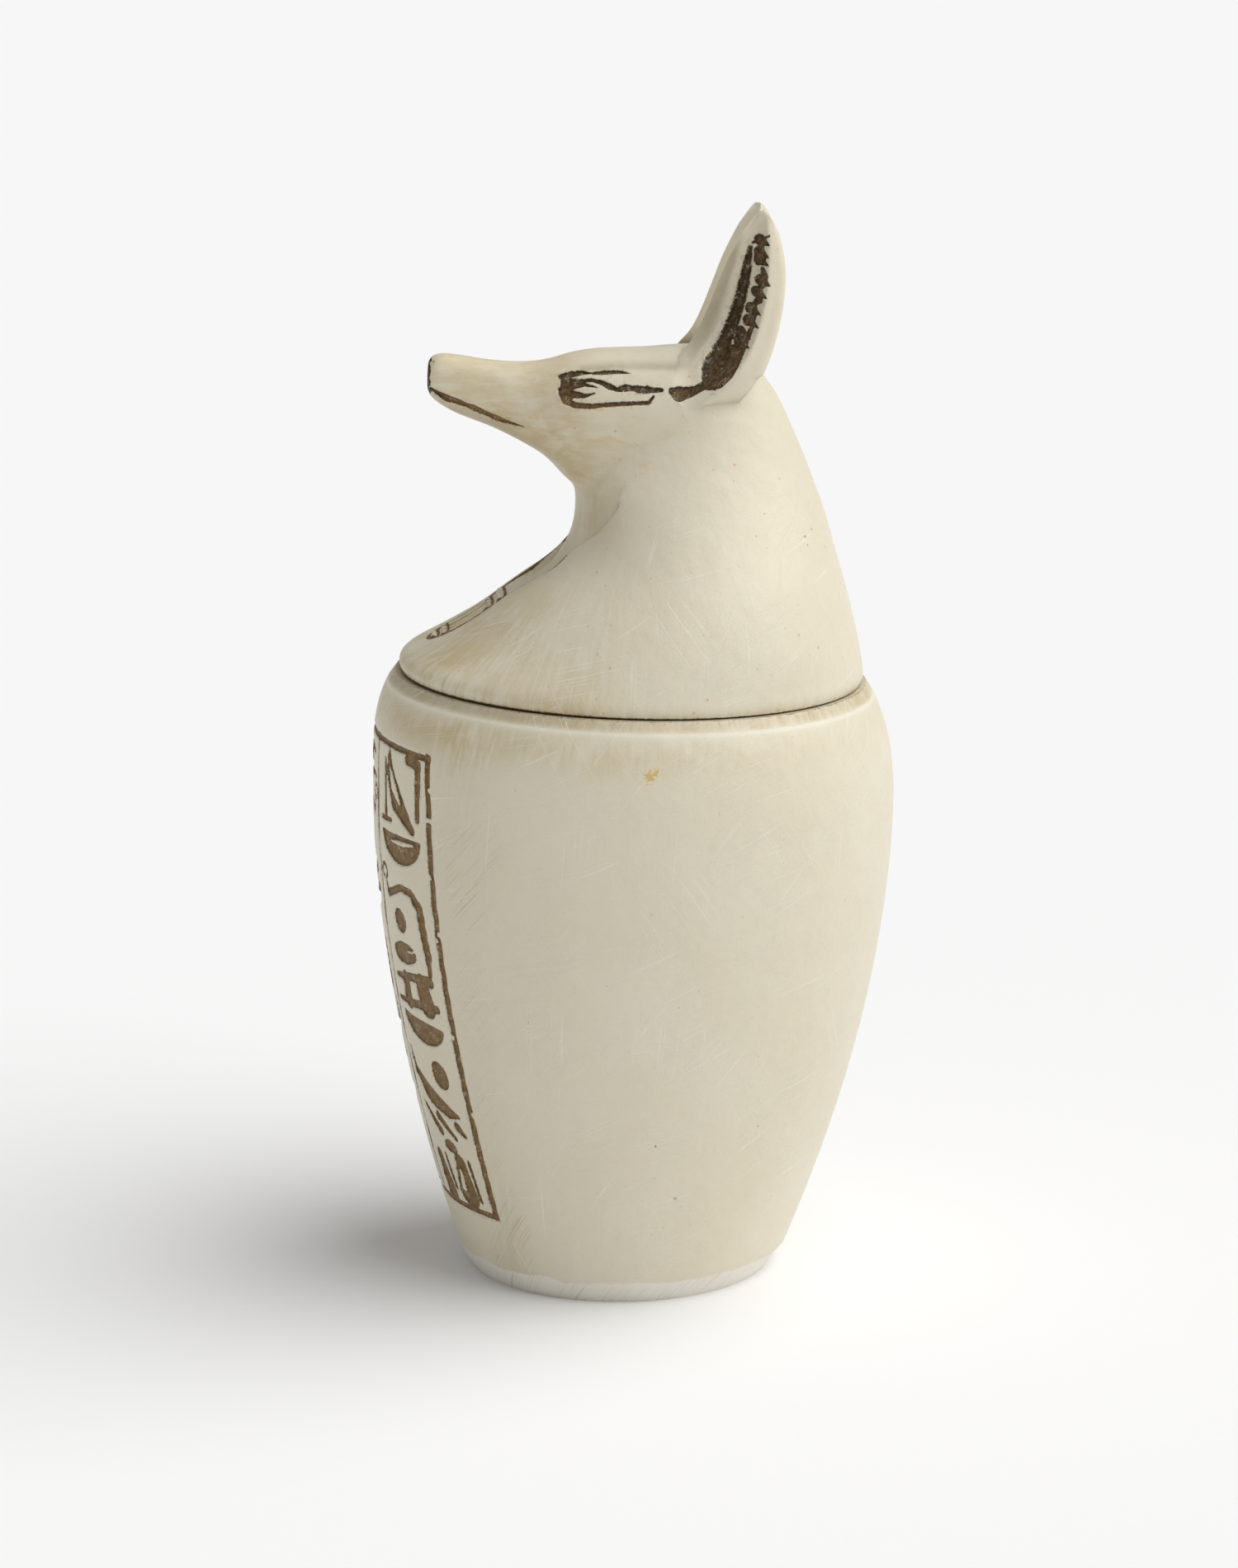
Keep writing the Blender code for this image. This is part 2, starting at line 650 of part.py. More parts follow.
def build_lid(material):
    """Bust and head in one skin, cut flat at the seat, with the ears, the carving and the plug."""
    bm = bmesh.new()
    loft(bm, bust_rings())
    loft(bm, head_rings())
    lid = fused(new_object("lid", bm, material), SCULPT_VOXEL, SMOOTH_PASSES)
    carve_opening(lid.data)
    tree = skin_tree(lid.data)
    thin = lid.modifiers.new("thin", "DECIMATE")
    thin.ratio = SKIN_TRIANGLES / (2 * len(lid.data.polygons))
    mesh = applied(lid)
    lid.modifiers.clear()
    flat_seat(mesh)
    mesh.shade_smooth()
    if not mesh.materials:
        mesh.materials.append(material)
    lid.data = mesh
    for side in (1, -1):
        bm = bmesh.new()
        loft(bm, ear_rings(side))
        joined = (new_object("ear_form", bm), "UNION"), (cup_cutter(side), "DIFFERENCE")
        for shape, operation in joined:
            shape.parent = lid
            cut_with(lid, shape, operation)
    plug = turned("plug_form", plug_profile(), JAR_SEGMENTS)
    plug.parent = lid
    cut_with(lid, plug, "UNION")
    for cutter in (*face_cutters(tree), strip_cutter(tree)):
        cutter.parent = lid
        cut_with(lid, cutter)
    return lid


def build_jar(material):
    """The hollow body, ground flat at the foot, with its sunk panel."""
    jar = turned("jar", body_profile(), JAR_SEGMENTS, material)
    for vert in jar.data.vertices:
        vert.co.y += bow(vert.co.z)
    for cutter in (upright_cutter(), level_cutter(), mark_cutter()):
        cut_with(jar, cutter)
        cutter.parent = jar
    cut_with(jar, foot_envelope(), "INTERSECT")
    return jar


def main():
    clear_scene()
    lean = bpy.data.objects.new("leaning_axis", None)
    lean.rotation_euler = (-math.radians(LEAN_DEG), 0, 0)
    bpy.context.scene.collection.objects.link(lean)
    material = resin("ivory_resin")
    jar = build_jar(material)
    jar.parent = lean
    lid = build_lid(material)
    lid.parent = lean
    lid.location = (0, bow(JAR_HEIGHT), JAR_HEIGHT + LID_GAP)
    for obj in (jar, lid):
        obj.data.set_sharp_from_angle(angle=math.radians(35))


main()
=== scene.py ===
"""Looks of a small cast canopic jar with a jackal-headed lid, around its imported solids.

The jar and the lid are made again here with finer carving than the solids carry, in the same place and
at the same size. Brown stain lies in the carving: each vertex holds its distance to the nearest stained
edge in the attribute "ink", and the shader breaks that edge up.
"""
from __future__ import annotations

import logging
import math
from dataclasses import dataclass
from enum import Enum
from typing import Callable, Iterable, Sequence

import bpy
import bmesh
import numpy as np
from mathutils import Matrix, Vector

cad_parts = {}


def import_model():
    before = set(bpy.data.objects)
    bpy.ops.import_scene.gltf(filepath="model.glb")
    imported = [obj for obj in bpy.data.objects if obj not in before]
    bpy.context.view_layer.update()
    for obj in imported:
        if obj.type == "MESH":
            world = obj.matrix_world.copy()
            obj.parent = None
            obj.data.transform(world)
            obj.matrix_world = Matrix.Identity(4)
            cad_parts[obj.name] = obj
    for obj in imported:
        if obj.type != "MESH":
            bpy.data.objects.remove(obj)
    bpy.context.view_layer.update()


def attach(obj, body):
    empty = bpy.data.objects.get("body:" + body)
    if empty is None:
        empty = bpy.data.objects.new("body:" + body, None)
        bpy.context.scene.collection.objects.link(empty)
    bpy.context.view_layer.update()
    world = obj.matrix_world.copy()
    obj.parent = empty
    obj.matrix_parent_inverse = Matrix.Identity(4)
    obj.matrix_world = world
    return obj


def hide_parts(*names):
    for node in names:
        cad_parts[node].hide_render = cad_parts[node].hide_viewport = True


LOG = logging.getLogger("canopic_jar")
MM = 0.001
ROOT_BODY = "root"
FAR_AWAY = 1.0
MERGED_WITHIN = 0.005 * MM
DEGENERATE_UNDER = 0.001 * MM
CUT_WITHIN = 0.0001 * MM
SMOOTH_UNDER_DEG = 50
MOST_CORNERS = 8
UNSTAINED = 4.0

Point = tuple[float, float]
Arc = tuple[float, float, int]
Colour = tuple[float, float, float, float]
Line = tuple[tuple[tuple[float, float, float], ...], ...]
Array = np.ndarray
Profile = Callable[[float], float]


class Slot(Enum):
    """Material slots of the record."""

    RESIN = "ivory_resin"


class Part(Enum):
    """Solids that a piece of this scene stands for."""

    JAR = "jar"
    LID = "lid"


class Mark(Enum):
    """Groups of shallow strokes in the panel, with the height that each takes. None of them is a letter."""

    WEDGE = 14.0 * MM
    BASIN = 7.7 * MM
    HOOK = 18.5 * MM
    TRESTLE = 8.2 * MM
    CRESCENT = 6.6 * MM
    LENS = 17.3 * MM
    BLOCKS = 12.6 * MM


# Blender's editing tools


def deselect_all() -> None:
    """Clears the selection, so that an operator acts on nothing by chance."""
    if bpy.context.object and bpy.context.object.mode != "OBJECT":
        bpy.ops.object.mode_set(mode="OBJECT")
    bpy.ops.object.select_all(action="DESELECT")


def pick(obj: bpy.types.Object) -> None:
    """Selects one object alone and makes it the active one.

    Args:
        obj: The object to work on.
    """
    deselect_all()
    obj.select_set(True)
    bpy.context.view_layer.objects.active = obj


def apply_modifier(obj: bpy.types.Object, kind: str, **settings: object) -> None:
    """Adds a modifier with its settings and applies it.

    Args:
        obj: The object that it changes.
        kind: Blender's name of the modifier's type.
        settings: The modifier's own values.
    """
    pick(obj)
    modifier = obj.modifiers.new(kind.lower(), kind)
    for name, value in settings.items():
        setattr(modifier, name, value)
    bpy.ops.object.modifier_apply(modifier=modifier.name)


def remove(obj: bpy.types.Object) -> None:
    """Deletes an object that is no longer needed."""
    bpy.data.objects.remove(obj)


def eased(stations: Sequence[Sequence[float]], steps: int) -> Array:
    """Rows between the stations, read from a Catmull-Rom curve through them.

    Args:
        stations: The rows that the curve goes through.
        steps: How many rows each stretch gets.

    Returns:
        The rows, with the last station at the end.
    """
    rows = np.array([stations[0], *stations, stations[-1]], float)
    found = []
    for a, b, c, d in zip(rows, rows[1:], rows[2:], rows[3:]):
        for t in np.arange(steps) / steps:
            cubic = 3 * b - a - 3 * c + d
            found.append(0.5 * (2 * b + (c - a) * t + (2 * a - 5 * b + 4 * c - d) * t**2 + cubic * t**3))
    found.append(rows[-1])
    return np.array(found)


def smooth_step(value: Array, low: float, high: float) -> Array:
    """A soft step from 0 at low to 1 at high."""
    share = np.clip((value - low) / (high - low), 0, 1)
    return share * share * (3 - 2 * share)


def bell(value: Array, centre: Array | float, width: float) -> Array:
    """A soft bump that is 1 at its centre."""
    return np.exp(-(((value - centre) / width) ** 2))


def extruded_skin(name: str, rings: Sequence[Array]) -> bpy.types.Object:
    """A closed skin: a filled circle laid on the first ring and extruded from ring to ring.

    Args:
        name: The new object's name.
        rings: Arrays of the same number of points, in metres.

    Returns:
        The new object, with its faces pointing out.
    """
    deselect_all()
    bpy.ops.mesh.primitive_circle_add(vertices=len(rings[0]), fill_type="NGON")
    obj = bpy.context.object
    obj.name = name
    places = obj.data.attributes.new("place", "INT", "POINT")
    places.data.foreach_set("value", np.arange(len(rings[0]), dtype=np.int32))
    obj.data.vertices.foreach_set("co", np.asarray(rings[0], np.float32).ravel())
    bpy.ops.object.mode_set(mode="EDIT")
    bpy.ops.mesh.select_all(action="SELECT")
    for ring in rings[1:]:
        bpy.ops.mesh.extrude_region_move()
        skin = bmesh.from_edit_mesh(obj.data)
        place = skin.verts.layers.int["place"]
        for vert in skin.verts:
            if vert.select:
                vert.co = ring[vert[place]]
    bmesh.update_edit_mesh(obj.data)
    bpy.ops.mesh.select_all(action="SELECT")
    bpy.ops.mesh.normals_make_consistent(inside=False)
    bpy.ops.object.mode_set(mode="OBJECT")
    obj.data.attributes.remove(obj.data.attributes["place"])
    return obj


def spun_solid(name: str, outline: Sequence[Point], arcs: Sequence[Arc]) -> bpy.types.Object:
    """A solid spun round Z from an outline of (radius, height) that starts and ends on the axis.

    Args:
        name: The new object's name.
        outline: Points from the axis round the outside and back to the axis.
        arcs: Stretches of the turn, each from an angle to an angle with a number of steps. Angles are
            in radians from the front, which is -Y, towards +X.

    Returns:
        The new object, with its faces pointing out.
    """
    deselect_all()
    bpy.ops.mesh.primitive_circle_add(vertices=len(outline), fill_type="NOTHING")
    obj = bpy.context.object
    obj.name = name
    start = arcs[0][0]
    laid = [(r * math.sin(start), -r * math.cos(start), h) for r, h in outline]
    obj.data.vertices.foreach_set("co", np.array(laid, np.float32).ravel())
    last = len(outline) - 1
    bpy.ops.object.mode_set(mode="EDIT")
    bpy.ops.mesh.select_all(action="DESELECT")
    skin = bmesh.from_edit_mesh(obj.data)
    for edge in skin.edges:
        if {vert.index for vert in edge.verts} == {0, last}:
            edge.select_set(True)
    bmesh.update_edit_mesh(obj.data)
    bpy.ops.mesh.delete(type="EDGE")
    bpy.ops.mesh.select_all(action="SELECT")
    for low, high, steps in arcs:
        # With no window a spin about +Z turns clockwise, so its axis points down.
        bpy.ops.mesh.spin(steps=steps, angle=high - low, center=(0, 0, 0), axis=(0, 0, -1))
    bpy.ops.mesh.select_all(action="SELECT")
    bpy.ops.mesh.remove_doubles(threshold=MERGED_WITHIN)
    bpy.ops.mesh.dissolve_degenerate(threshold=DEGENERATE_UNDER)
    bpy.ops.mesh.normals_make_consistent(inside=False)
    bpy.ops.object.mode_set(mode="OBJECT")
    return obj


def cut_flat(obj: bpy.types.Object) -> None:
    """Cuts an object off flat at height 0 and closes the cut.

    Args:
        obj: A mesh object that reaches a little under that height.
    """
    pick(obj)
    bpy.ops.object.mode_set(mode="EDIT")
    bpy.ops.mesh.select_all(action="SELECT")
    bpy.ops.mesh.bisect(
        plane_co=(0, 0, 0), plane_no=(0, 0, -1), use_fill=True, clear_outer=True, threshold=CUT_WITHIN
    )
    bpy.ops.object.mode_set(mode="OBJECT")


def places_of(obj: bpy.types.Object) -> Array:
    """Every vertex of an object as a row of X, Y and Z.

    Args:
        obj: A mesh object at the origin.

    Returns:
        An array of three columns, in metres.
    """
    flat = np.empty(len(obj.data.vertices) * 3, np.float32)
    obj.data.vertices.foreach_get("co", flat)
    return flat.reshape(-1, 3).astype(float)


def turned_back(places: Array, lean_deg: float) -> Array:
    """Leans places back about the X axis.

    Args:
        places: Rows of X, Y and Z.
        lean_deg: How far back, in degrees; below 0 for forward.

    Returns:
        The turned rows.
    """
    lean = math.radians(lean_deg)
    turned = places.copy()
    turned[:, 1] = places[:, 1] * math.cos(lean) + places[:, 2] * math.sin(lean)
    turned[:, 2] = places[:, 2] * math.cos(lean) - places[:, 1] * math.sin(lean)
    return turned


def normals_of(obj: bpy.types.Object) -> Array:
    """The outward direction at every vertex.

    Args:
        obj: A mesh object.

    Returns:
        An array of three columns.
    """
    flat = np.empty(len(obj.data.vertices) * 3, np.float32)
    obj.data.vertex_normals.foreach_get("vector", flat)
    return flat.reshape(-1, 3).astype(float)


def set_places(obj: bpy.types.Object, places: Array) -> None:
    """Moves every vertex of an object."""
    obj.data.vertices.foreach_set("co", places.astype(np.float32).ravel())
    obj.data.update()


def set_attribute(obj: bpy.types.Object, name: str, values: Array) -> None:
    """Writes one number to each vertex under a name that the shader reads."""
    attribute = obj.data.attributes.get(name) or obj.data.attributes.new(name, "FLOAT", "POINT")
    attribute.data.foreach_set("value", values.astype(np.float32))


# Carved marks, as distances on a flat sheet in metres


@dataclass(frozen=True)
class Stroke:
    """A carved line whose width changes evenly from point to point."""

    points: tuple[Point, ...]
    widths: tuple[float, ...]

    def distance(self, across: Array, up: Array) -> Array:
        """Signed distance to the stroke's edge, below 0 inside it.

        Args:
            across: First coordinate of each place.
            up: Second coordinate of each place.

        Returns:
            The distance at each place.
        """
        widths = self.widths if len(self.widths) > 1 else self.widths * len(self.points)
        nearest = np.full(across.shape, FAR_AWAY)
        for (x0, y0), (x1, y1), w0, w1 in zip(self.points, self.points[1:], widths, widths[1:]):
            run = (x1 - x0, y1 - y0)
            length = max(run[0] ** 2 + run[1] ** 2, 1e-14)
            share = np.clip(((across - x0) * run[0] + (up - y0) * run[1]) / length, 0, 1)
            gap = np.hypot(across - x0 - share * run[0], up - y0 - share * run[1])
            nearest = np.minimum(nearest, gap - 0.5 * (w0 + share * (w1 - w0)))
        return nearest


@dataclass(frozen=True)
class Oval:
    """A filled oval, which may be turned."""

    centre: Point
    width: float
    height: float
    turn_deg: float = 0.0

    def distance(self, across: Array, up: Array) -> Array:
        """Signed distance to the oval's edge, nearly exact near it.

        Args:
            across: First coordinate of each place.
            up: Second coordinate of each place.

        Returns:
            The distance at each place.
        """
        turn = math.radians(self.turn_deg)
        u = (across - self.centre[0]) * math.cos(turn) + (up - self.centre[1]) * math.sin(turn)
        v = (up - self.centre[1]) * math.cos(turn) - (across - self.centre[0]) * math.sin(turn)
        u, v = u / (0.5 * self.width), v / (0.5 * self.height)
        reach = np.hypot(u, v)
        slope = np.hypot(u / (0.5 * self.width), v / (0.5 * self.height)) + 1e-9
        return (reach - 1) * reach / slope


@dataclass(frozen=True)
class Bowl:
    """The lower part of an oval under a flat top edge that may slope."""

    oval: Oval
    top: float
    slope: float = 0.0

    def distance(self, across: Array, up: Array) -> Array:
        """Signed distance to the bowl's edge."""
        lid = (up - self.oval.centre[1] - self.top - self.slope * (across - self.oval.centre[0]))
        return np.maximum(self.oval.distance(across, up), lid / math.hypot(1.0, self.slope))


@dataclass(frozen=True)
class Hollowed:
    """A mark with another mark left standing inside it."""

    body: object
    island: object

    def distance(self, across: Array, up: Array) -> Array:
        """Signed distance to the edge of what is cut."""
        return np.maximum(self.body.distance(across, up), -self.island.distance(across, up))


def nearest_of(marks: Iterable, across: Array, up: Array, reach: float = 0.004) -> Array:
    """Distance to the nearest of several marks.

    Args:
        marks: The marks.
        across: First coordinate of each place.
        up: Second coordinate of each place.
        reach: The distance that is given where no mark is near.

    Returns:
        The signed distance at each place, in metres.
    """
    nearest = np.full(across.shape, reach)
    for mark in marks:
        nearest = np.minimum(nearest, mark.distance(across, up))
    return nearest


# The jar


@dataclass(frozen=True)
class Panel:
    """The framed panel of sunk strokes on the front of the jar."""

    top: float = 102.6 * MM
    bottom: float = 14.7 * MM
    top_half_deg: float = 38.2
    bottom_half_deg: float = 46.2
    spread: float = 1.4
    columns: int = 3
    side_width: float = 1.5 * MM
    level_width: float = 1.15 * MM
    divider_width: float = 1.0 * MM
    depth: float = 0.36 * MM
    bevel: float = 0.22 * MM
    overrun: float = 0.9 * MM
    drawn_width: float = 24.0 * MM
    gaps: tuple[Point, ...] = ((91.4, 0.8),)
    nick_radius: float = 0.45 * MM
    nicks: tuple[Point, ...] = (
        (80.7, -0.5),
        (70.2, 0.3),
        (68.9, -0.6),
        (50.4, -0.4),
        (35.5, 0.5),
        (97.0, 0.4),
    )
    orders: tuple[tuple[Mark, ...], ...] = (
        (Mark.BLOCKS, Mark.CRESCENT, Mark.LENS, Mark.TRESTLE, Mark.WEDGE, Mark.BASIN, Mark.HOOK),
        (Mark.TRESTLE, Mark.HOOK, Mark.BASIN, Mark.BLOCKS, Mark.LENS, Mark.CRESCENT, Mark.WEDGE),
        (Mark.WEDGE, Mark.BASIN, Mark.HOOK, Mark.TRESTLE, Mark.CRESCENT, Mark.LENS, Mark.BLOCKS),
    )

    def half_angle(self, height: Array) -> Array:
        """Half the panel's width as an angle.

        Args:
            height: Heights up the jar's axis.

        Returns:
            Radians from the front to the middle of the border line.
        """
        share = np.clip((self.top - height) / (self.top - self.bottom), 0, None)
        spread = self.bottom_half_deg - self.top_half_deg
        return np.radians(self.top_half_deg + spread * share**self.spread)

    def signs_of(self, kind: Mark, middle: Point, stretch: float) -> list:
        """The strokes of one group.

        Args:
            kind: Which group.
            middle: The middle of its cell, in metres.
            stretch: How much wider than drawn it is, below 0 to turn it left for right.

        Returns:
            Marks on the flat sheet.
        """

        def at(u: float, v: float) -> Point:
            """A place in millimetres from the cell's middle."""
            return (middle[0] + stretch * u * MM, middle[1] + v * MM)

        def line(points: Sequence[Point], *widths: float) -> Stroke:
            """A stroke through places in millimetres."""
            return Stroke(tuple(at(u, v) for u, v in points), tuple(width * MM for width in widths))

        def oval(u: float, v: float, width: float, height: float, turn: float = 0.0) -> Oval:
            """An oval with its sizes in millimetres."""
            turned = math.copysign(turn, stretch * turn)
            return Oval(at(u, v), abs(stretch) * width * MM, height * MM, turned)

        if kind is Mark.WEDGE:
            horn = ((-4.2, 6.4), (-3.6, 2.6), (-0.6, -1.8), (6.2, -6.6))
            core = ((-3.7, 3.6), (-1.9, 0.4), (1.0, -2.4))
            return [
                Hollowed(line(horn, 1.2, 3.6, 5.2, 1.8), line(core, 0.3, 2.2, 0.8)),
                line(((-6.4, 4.6), (-6.0, -6.2)), 1.0, 1.3),
                line(((-8.6, -6.6), (-3.2, -6.3)), 1.0, 1.0),
                line(((4.4, 6.4), (8.2, 6.0)), 2.2, 2.0),
                line(((8.4, 5.6), (8.2, -4.2)), 1.9, 1.4),
            ]
        if kind is Mark.BASIN:
            bowl = Bowl(oval(0.0, 2.6, 17.6, 11.0), 0.0, 0.03)
            return [Hollowed(bowl, line(((-3.6, 0.9), (2.0, 1.3), (6.2, 1.8)), 0.5, 0.9, 0.4))]
        if kind is Mark.HOOK:
            ring = [(-9.0 + 1.7 * math.cos(t), 7.6 + 1.3 * math.sin(t)) for t in np.linspace(-1.2, 4.4, 10)]
            bend = ((-7.4, 3.6), (-0.6, 6.0), (3.8, 5.8), (6.6, 3.4), (7.0, -1.0), (7.6, -5.0), (7.2, -9.0))
            return [
                line(ring, 0.75),
                line(((-8.4, 6.2), (-7.4, 3.6)), 0.8, 1.4),
                line(bend, 1.5, 1.4, 1.8, 2.5, 2.4, 2.2, 1.2),
                oval(-2.4, -0.6, 5.4, 4.6),
                Hollowed(oval(-2.6, -6.8, 11.0, 4.2, 6), line(((-0.6, -6.2), (2.4, -5.8)), 0.5, 0.3)),
            ]
        if kind is Mark.TRESTLE:
            return [
                line(((-8.6, 1.4), (-1.0, 2.5), (7.0, 3.2)), 1.1, 1.7, 2.3),
                line(((-10.0, -3.2), (-1.0, -2.6), (7.8, -1.8)), 0.9, 1.8, 1.7),
                line(((-3.6, 1.6), (-4.0, -2.4)), 3.4, 3.6),
                line(((3.6, 1.8), (4.2, -1.6)), 4.6, 5.4),
            ]
        if kind is Mark.CRESCENT:
            return [Bowl(oval(0.2, 2.2, 17.0, 9.2, -3), 0.0, -0.04)]
        if kind is Mark.LENS:
            fin = ((-9.0, 7.2), (-8.2, 3.0), (-3.0, -0.6), (3.4, -2.6), (7.2, -3.0))
            return [
                line(fin, 1.0, 2.0, 4.2, 3.0, 0.8),
                oval(4.2, 4.4, 6.2, 5.4),
                line(((-7.6, -3.4), (-2.6, -7.6)), 1.0, 2.2),
                line(((-1.6, -4.6), (3.6, -8.0)), 2.0, 1.0),
                line(((5.6, -5.2), (7.4, -6.6)), 2.0, 1.2),
            ]
        block = line(((3.8, 2.2), (3.0, -3.8)), 3.6, 5.8)
        return [
            oval(1.6, 5.0, 5.4, 2.6),
            Hollowed(block, line(((2.8, 0.6), (1.8, -3.0)), 0.7, 1.3)),
            line(((7.6, 3.2), (7.2, -4.6)), 0.8, 1.0),
            line(((-6.4, 1.8), (-5.6, -5.2)), 2.6, 4.4),
            line(((-2.6, 2.6), (-2.2, -3.6)), 0.9, 1.2),
        ]

    def signs(self, side_radius: Profile) -> list:
        """Every group in every column, from the top down.

        Args:
            side_radius: The jar's outer radius at a height.

        Returns:
            Marks on the sheet of (arc length from the front, height).
        """
        found = []
        for column, order in enumerate(self.orders):
            spare = self.top - self.bottom - self.level_width - sum(kind.value for kind in order)
            level = self.top - 0.5 * self.level_width
            for kind in order:
                cell = kind.value + spare / len(order)
                centre = level - 0.5 * cell
                half = float(self.half_angle(np.array(centre))) * side_radius(centre)
                middle = half * ((2 * column + 1) / self.columns - 1)
                stretch = 2 * half / self.columns / self.drawn_width
                found += self.signs_of(kind, (middle, centre), stretch if column != 1 else -stretch)
                level -= cell
        return found

    def distance(self, angle: Array, radius: Array, height: Array, side_radius: Profile) -> Array:
        """Signed distance to the nearest cut edge.

        Args:
            angle: Angles from the front.
            radius: The jar's outer radius at each place.
            height: Heights up the axis.
            side_radius: The jar's outer radius at one height.

        Returns:
            Distances in metres, below 0 inside a cut.
        """
        across = angle * radius
        half = self.half_angle(height) * radius
        down = np.maximum(height - self.top - self.overrun, self.bottom - height)
        nearest = nearest_of(self.signs(side_radius), across, height)
        for line in range(self.columns + 1):
            outermost = line in (0, self.columns)
            width = self.side_width if outermost else self.divider_width
            away = np.abs(across - half * (2 * line / self.columns - 1)) - 0.5 * width
            if outermost:
                edge = np.abs(across) - half
                away = np.maximum(away, -self.break_distance(edge, height))
            nearest = np.minimum(nearest, np.maximum(away, down))
        for level, overrun in ((self.top, self.overrun), (self.bottom, 0.5 * self.side_width)):
            away = np.abs(height - level) - 0.5 * self.level_width
            nearest = np.minimum(nearest, np.maximum(away, np.abs(across) - half - overrun))
        return nearest

    def break_distance(self, edge: Array, height: Array) -> Array:
        """Signed distance to the short breaks and nicks in the side lines.

        Args:
            edge: Distances outwards from the middle of the line.
            height: Heights up the axis.

        Returns:
            Distances in metres, below 0 in a break.
        """
        away = np.full(height.shape, FAR_AWAY)
        for middle, length in self.gaps:
            away = np.minimum(away, np.abs(height - middle * MM) - 0.5 * length * MM)
        for middle, offset in self.nicks:
            nick = np.hypot(edge - offset * MM, height - middle * MM) - self.nick_radius
            away = np.minimum(away, nick)
        return away


